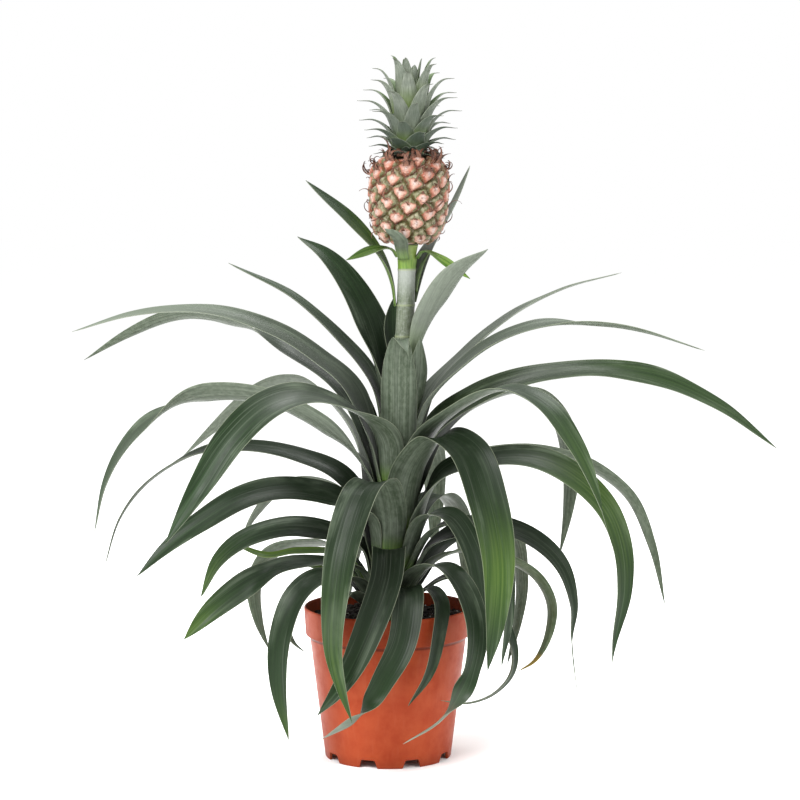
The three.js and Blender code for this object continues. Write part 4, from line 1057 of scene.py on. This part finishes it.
def at(walk, key, q):
    """Radius or height of the outline at a flattened height."""
    return np.interp(q, walk["q"], walk[key])


def on_sphere(q, angle):
    """The place on a sphere of radius 1 that belongs to a flattened height and an angle."""
    z = np.tanh(q)
    r = np.sqrt(np.maximum(1 - z * z, 0))
    return np.stack([r * np.cos(angle), r * np.sin(angle), z], -1)


def eye_centres(walk, middle_q):
    """The middles of the eyes, each with the same share of the skin."""
    area = walk["area"][-1] * (np.arange(FRUIT_EYES) + 0.5) / FRUIT_EYES
    q = np.interp(area, walk["area"], walk["q"])
    angle = np.arange(FRUIT_EYES) * GOLDEN_ANGLE
    return dict(sphere=on_sphere(q - middle_q, angle), q=q, angle=angle,
                radius=at(walk, "radius", q), z=at(walk, "z", q))


def fruit_frame(walk, q, angle):
    """Place, outward direction and upward direction on the plain fruit."""
    q = np.clip(q, 0, walk["q"][-1])
    low = np.clip(q - 0.02, 0, walk["q"][-1] - 0.02)
    high = np.clip(q + 0.02, 0.02, walk["q"][-1])
    rise = at(walk, "z", high) - at(walk, "z", low)
    spread = at(walk, "radius", high) - at(walk, "radius", low)
    radial = np.stack([np.cos(angle), np.sin(angle), np.zeros_like(angle)], -1)
    normal = unit(radial * rise[..., None] - UP * spread[..., None])
    upward = unit(radial * spread[..., None] + UP * rise[..., None])
    z = at(walk, "z", q)
    place = radial * at(walk, "radius", q)[..., None]
    place = place + np.stack([lean_at(FRUIT_BOTTOM + z), np.zeros_like(z), FRUIT_BOTTOM + z], -1)
    return place, normal, upward


def make_fruit():
    """The fruit's skin: each point takes its height and colours from the eye that it lies in."""
    walk = walk_outline()
    middle_q = np.interp(FRUIT_HEIGHT / 2, walk["z"], walk["q"])
    eyes = eye_centres(walk, middle_q)
    run = np.linspace(FRUIT_END, walk["run"][-1] - FRUIT_END, FRUIT_ROWS)
    q = np.interp(run, walk["run"], walk["q"])
    q, angle = (grid.ravel() for grid in np.meshgrid(q, around(FRUIT_SIDES), indexing="ij"))
    place, normal, upward = fruit_frame(walk, q, angle)
    bent_q = q + 0.014 * np.sin(11 * angle + 9 * q) + 0.009 * np.sin(23 * angle - 17 * q)
    bent_angle = angle + 0.016 * np.sin(13 * q + 5 * angle) + 0.010 * np.sin(29 * q - 14 * angle)
    unit_spot = on_sphere(bent_q - middle_q, bent_angle)
    scale = at(walk, "radius", q) / np.maximum(np.hypot(*unit_spot[:, :2].T), 1e-6)
    square = ((unit_spot[:, None] - eyes["sphere"][None]) ** 2).sum(-1)
    order = np.argsort(square, axis=1)[:, :2]
    nearest, second = order[:, 0], order[:, 1]
    d1 = np.take_along_axis(square, order, 1)
    apart = np.linalg.norm(eyes["sphere"][nearest] - eyes["sphere"][second], axis=1)
    border = (d1[:, 1] - d1[:, 0]) / (2 * apart) * scale
    own = eyes["sphere"][nearest]
    east = unit(np.stack([-own[:, 1], own[:, 0], np.zeros(len(own))], -1))
    north = np.cross(own, east)
    offset = (unit_spot - own) * scale[:, None]
    x = (offset * east).sum(1)
    y = (offset * north).sum(1)
    draw = np.random.default_rng(5)
    wobble = draw.uniform(-1, 1, (FRUIT_EYES, 3))[nearest]
    radius = eyes["radius"][nearest]
    strength = smooth((radius - POLE_RADIUS) / POLE_FADE)
    # a domed eye: a fleshy flap rises from a point at its lower border to its middle, and a
    # leafy arch closes over it from above
    tilt = 0.25 * wobble[:, 2]
    x, y = x * np.cos(tilt) - y * np.sin(tilt), x * np.sin(tilt) + y * np.cos(tilt)
    from_middle = np.hypot(x, y)
    reach, slope = CUSHION
    cushion = smooth(border / BORDER_FADE) * smooth((reach - from_middle) / slope)
    flap_top = FLAP_TOP + 0.8 * wobble[:, 0] - 0.09 * x ** 2 + 0.25 * np.sin(2.3 * x + 3 * wobble[:, 1])
    flap_side = FLAP_SIDE + 0.5 * wobble[:, 1] - 0.5 * np.maximum(-y, 0)
    flap = smooth((flap_top - y) / 1.0 + 0.5) * smooth((flap_side - np.abs(x)) / 1.2 + 0.5)
    fold = np.abs(x + 0.3 * wobble[:, 2])
    keel = np.exp(-(fold / 1.2) ** 2) * smooth((1.5 - y) / 2) * flap
    spread = np.abs(x) / np.maximum(y + 5, 0.5)
    seam = np.exp(-((spread - 0.22) / 0.05) ** 2) * smooth((y - flap_top) / 0.8)
    height = -EYE_GROOVE + (EYE_GROOVE + EYE_RISE) * cushion
    height = height + (FLAP_RISE * (flap + keel) - SEAM_DEPTH * seam) * cushion
    height = mix(-EYE_GROOVE, height, strength)
    points = place + normal * height[:, None]
    # colours
    z = eyes["z"][nearest] / FRUIT_HEIGHT
    pale, salmon = rgb(240, 196, 176), rgb(206, 112, 84)
    rim = 1 - smooth((flap_side - np.abs(x)) / 2.6) * smooth((flap_top - y) / 1.6)
    rim = np.maximum(rim, 1 - smooth((border - 0.6) / 1.8))
    redness = 0.02 + 0.2 * wobble[:, 1] + 0.6 * (z - 0.4) + 0.75 * rim
    pink = mix(pale, salmon, np.clip(redness, 0, 1)[:, None])
    # painted highlight: near-white along each flap's keel, towards the eye's middle
    painted_highlight = rgb(255, 240, 234)
    pink = mix(pink, painted_highlight, (0.8 * keel * smooth((3.6 - from_middle) / 2.4))[:, None])
    leafy, dusty = rgb(116, 118, 68), rgb(184, 180, 146)
    frosted = smooth((y - flap_top) / 3) * smooth((border - 0.6) / 1.6)
    olive = mix(leafy, dusty, np.clip(0.25 + 0.7 * frosted + 0.3 * wobble[:, 2], 0, 1)[:, None])
    mossy, rusty = rgb(88, 84, 26), rgb(112, 50, 28)
    olive = mix(olive, mossy, (0.7 * seam)[:, None])
    paint = mix(olive, pink, flap[:, None])
    crease = np.exp(-((flap_top - y) / 0.45) ** 2) * smooth((4 - np.abs(x)) / 2)
    paint = mix(paint, rusty, (0.6 * crease * smooth(0.8 + wobble[:, 0]))[:, None])
    groove = mix(mossy, rusty, smooth(0.25 + 0.6 * (z - 0.5) - y / 9 + 0.5 * wobble[:, 0])[:, None])
    paint = mix(groove, paint, smooth((cushion - 0.06) / 0.34)[:, None])
    brown = smooth((z - 0.72) / 0.2) * smooth((y + 2) / 2)
    paint = mix(paint, rgb(140, 70, 46), (0.6 * brown)[:, None])
    faces = tube_faces(FRUIT_ROWS, FRUIT_SIDES)
    make_piece("fruit_body", points, faces, fruit_material(), ["fruit"],
               {"fruit_paint": paint})
    make_bract_tips(walk, eyes)


def bract_strand(draw, start, normal, upward, length, width, high):
    """Points and places of one dry strand that curls out of the fruit."""
    side = np.cross(upward, normal)
    lift = math.radians(draw.uniform(15, 60) + 12 * high)
    curl = math.radians(draw.choice([-1, 1]) * draw.uniform(90, 270))
    sway = math.radians(draw.uniform(-90, 90))
    points, parts = [], []
    spot = start.copy()
    for k in range(STRAND_STEPS + 1):
        t = k / STRAND_STEPS
        angle = lift + curl * (t ** 1.5 - 0.2)
        swing = sway * t
        ahead = normal * math.sin(angle) + upward * math.cos(angle)
        ahead = unit(ahead * math.cos(swing) + side * math.sin(swing))
        if k:
            spot = spot + ahead * length / STRAND_STEPS
        across = unit(side - ahead * side.dot(ahead))
        over = np.cross(across, ahead)
        half = width / 2 * (1 - t) ** 0.8 + 0.14
        thick = mix(0.5, 0.16, t)
        for j in range(STRAND_SIDES):
            a = 2 * math.pi * j / STRAND_SIDES
            lie = thick * math.sin(a) / 1.4 + 0.4 * half * math.cos(a) ** 2
            points.append(spot + across * half * math.cos(a) + over * lie)
            parts.append([math.cos(a), t, 1.0])
    return points, parts


def make_bract_tips(walk, eyes):
    """Thin dry tips out of the eyes, more of them and longer at the top, as one piece."""
    draw = random.Random(11)
    points, faces, parts = [], [], []
    for i in range(FRUIT_EYES):
        share = float(smooth((eyes["radius"][i] - BRACT_RADIUS) / POLE_FADE))
        high = float(smooth((eyes["z"][i] / FRUIT_HEIGHT - 0.7) / 0.2))
        if max(share, high) < 0.1 or eyes["radius"][i] < POLE_RADIUS:
            continue
        place, normal, upward = (a[0] for a in fruit_frame(
            walk, np.array([eyes["q"][i]]), np.array([eyes["angle"][i]])))
        side = np.cross(upward, normal)
        for strand in range(5 if high > 0.5 else draw.choice([1, 1, 2])):
            length = draw.uniform(4, 6.5) + 11 * draw.random() ** 3 + high * draw.uniform(1, 5)
            width = draw.uniform(1.8, 3.0) + 1.7 * high
            start = place + normal * (EYE_RISE * 0.6) + upward * 0.3
            start = start + side * min(strand, 2) * draw.uniform(-1.8, 1.8)
            more, where = bract_strand(draw, start, normal, upward, length, width, high)
            faces += tube_faces(STRAND_STEPS + 1, STRAND_SIDES, len(points))
            points += more
            parts += where
    make_piece("fruit_bract_tips", points, faces, bract_tip_material(),
               attributes={"leaf_part": parts})


# ---------------------------------------------------------------- crown

def crown_blade(azimuth, root_radius, root_height, width, reach, rise, seed):
    """One stiff leaf of the crown, as rings of points with their places on it."""
    out, side = outward(azimuth), sideways(azimuth)
    t = np.linspace(0, 1, CROWN_RINGS)
    a = np.array([root_radius, root_height])
    stand, share = CROWN_STAND
    b = np.array([root_radius + stand, root_height + rise * share])
    c = np.array([reach, root_height + rise])
    u = t[:, None]
    spot = a * (1 - u) ** 2 + b * 2 * u * (1 - u) + c * u ** 2
    slope = unit((b - a) * (1 - u) + (c - b) * u)
    droop, full_reach = CROWN_DROOP
    spot[:, 1] -= droop * smooth((t - 0.6) / 0.4) ** 2 * (reach / full_reach)
    half = width / 2 * (1 - t ** 1.15) * (1 - 0.25 * t) + 0.16
    cup = CROWN_CUP * half
    thickness = mix(*CROWN_THICKNESS, t)
    v = np.sin(np.linspace(-math.pi / 2, math.pi / 2, CROWN_CELLS + 1))
    centre = np.array([lean_at(root_height), 0, 0]) + out * spot[:, :1] + UP * spot[:, 1:]
    under = out * slope[:, 1:] - UP * slope[:, :1]
    bow = (1 - v ** 2) * cup[:, None] - cup[:, None]
    middle = centre[:, None] + side * (v * half[:, None])[..., None] + under[:, None] * bow[..., None]
    lean = 2 * v * cup[:, None] / np.maximum(half[:, None], 0.1)
    normal = unit(-under[:, None] - side * lean[..., None])
    thick = thickness[:, None] * (1 - 0.75 * v ** 2)
    run = t * math.hypot(reach - root_radius, rise)
    return blade(middle, normal, thick, v, half, run, t, seed)


def make_crown():
    """The crown: a core, its leaves in a spiral, and small ones at its foot and in its heart.
    The look of a leaf is how high it grows, how fresh its root is and how much it is shaded."""
    points, faces = turn_profile(CROWN_CORE, CROWN_SIDES)
    points = points + np.stack([lean_at(CROWN_BOTTOM + points[:, 2]), 0 * points[:, 2],
                                np.full(len(points), CROWN_BOTTOM)], -1)
    points, places, parts = [points], [np.zeros_like(points)], [np.zeros_like(points)]
    looks = [np.tile([0.3, 0.0, 0.0], (len(points[0]), 1))]
    core_radius = [[z, r] for r, z in CROWN_CORE[1:]]

    def add_blade(index, azimuth, root_radius, root, width, reach, rise, look):
        more, more_faces, place, part = crown_blade(
            azimuth, root_radius, CROWN_BOTTOM + root, width, reach, rise, index)
        faces.extend(shifted(more_faces, sum(len(p) for p in points)))
        points.append(more)
        places.append(place)
        parts.append(part)
        looks.append(np.tile(look, (len(more), 1)))

    for i in range(CROWN_LEAVES):
        t = i / (CROWN_LEAVES - 1)
        tip = mix(CROWN_LOWEST_TIP, CROWN_HEIGHT, t ** CROWN_CROWDING)
        rise = along(CROWN_RISE, t)
        root = tip - rise
        root_radius = along(core_radius, root + 1) - CROWN_ROOT_DEPTH
        look = [float(smooth(t * 1.5 - 0.15)), 0.25 + 0.55 * (i % 3 == 1), 0.1 * max(0, 1 - 7 * t)]
        add_blade(i, math.degrees(i * GOLDEN_ANGLE), root_radius, root, along(CROWN_WIDTH, t),
                  along(CROWN_REACH, t), rise, look)
    # small leaves around the crown's foot
    for i in range(CROWN_FOOT_LEAVES):
        azimuth = i * 360 / CROWN_FOOT_LEAVES + 11 * math.sin(3.1 * i)
        reach = 24 + 3 * math.sin(5.3 * i)
        rise = 3.0 + 1.4 * math.sin(2.7 * i)
        add_blade(CROWN_LEAVES + i, azimuth, 8.2, 0.2, 15, reach, rise, [0.5, 0.6, 0.0])
    # young leaves that close its heart
    for i in range(CROWN_HEART_LEAVES):
        azimuth = 35 + i * 360 / CROWN_HEART_LEAVES
        odd = i % 2
        add_blade(HEART_SEED + i, azimuth, 4.5, 44 + 2 * odd, 12, 5 + 3 * odd, 21 + 3 * odd,
                  [0.8, 0.3, 0.0])
    make_piece("crown_leaves", np.vstack(points), faces, crown_material(), ["crown"], {
        "leaf_place": np.vstack(places), "leaf_part": np.vstack(parts), "leaf_look": np.vstack(looks)})


# ---------------------------------------------------------------- studio

def make_studio():
    """A plain white floor and world, and three soft lights."""
    mesh = bpy.data.meshes.new("floor")
    far = FLOOR_REACH
    mesh.from_pydata([(-far, -far, 0), (far, -far, 0), (far, far, 0), (-far, far, 0)],
                     [], [(0, 1, 2, 3)])
    floor = add_object("floor", mesh)
    s = Shader("floor_paint", 0.9, 0.0)
    s.colour((1, 1, 1, 1))
    mesh.materials.append(s.material)

    world = bpy.data.worlds.new("studio")
    world.use_nodes = True
    background = world.node_tree.nodes["Background"]
    background.inputs["Color"].default_value = (1, 1, 1, 1)
    background.inputs["Strength"].default_value = 1.0
    bpy.context.scene.world = world

    for name, place, size, power in LIGHTS:
        light = bpy.data.lights.new(name, "AREA")
        light.energy = power
        light.size = size
        lamp = add_object(name, light)
        lamp.location = place
        aim = Vector(LIGHT_AIM) - Vector(place)
        lamp.rotation_euler = aim.to_track_quat("-Z", "Y").to_euler()
    bpy.context.scene.view_settings.view_transform = "Standard"


def make_camera():
    data = bpy.data.cameras.new("camera")
    data.lens = CAMERA_LENS
    camera = add_object("camera", data)
    camera.location = CAMERA_PLACE
    camera.rotation_euler = (math.radians(90 - CAMERA_TILT), 0, 0)
    bpy.context.scene.camera = camera


make_camera()
make_studio()
make_pot()
make_soil()
make_stem()
make_leaves()
make_fruit()
make_crown()
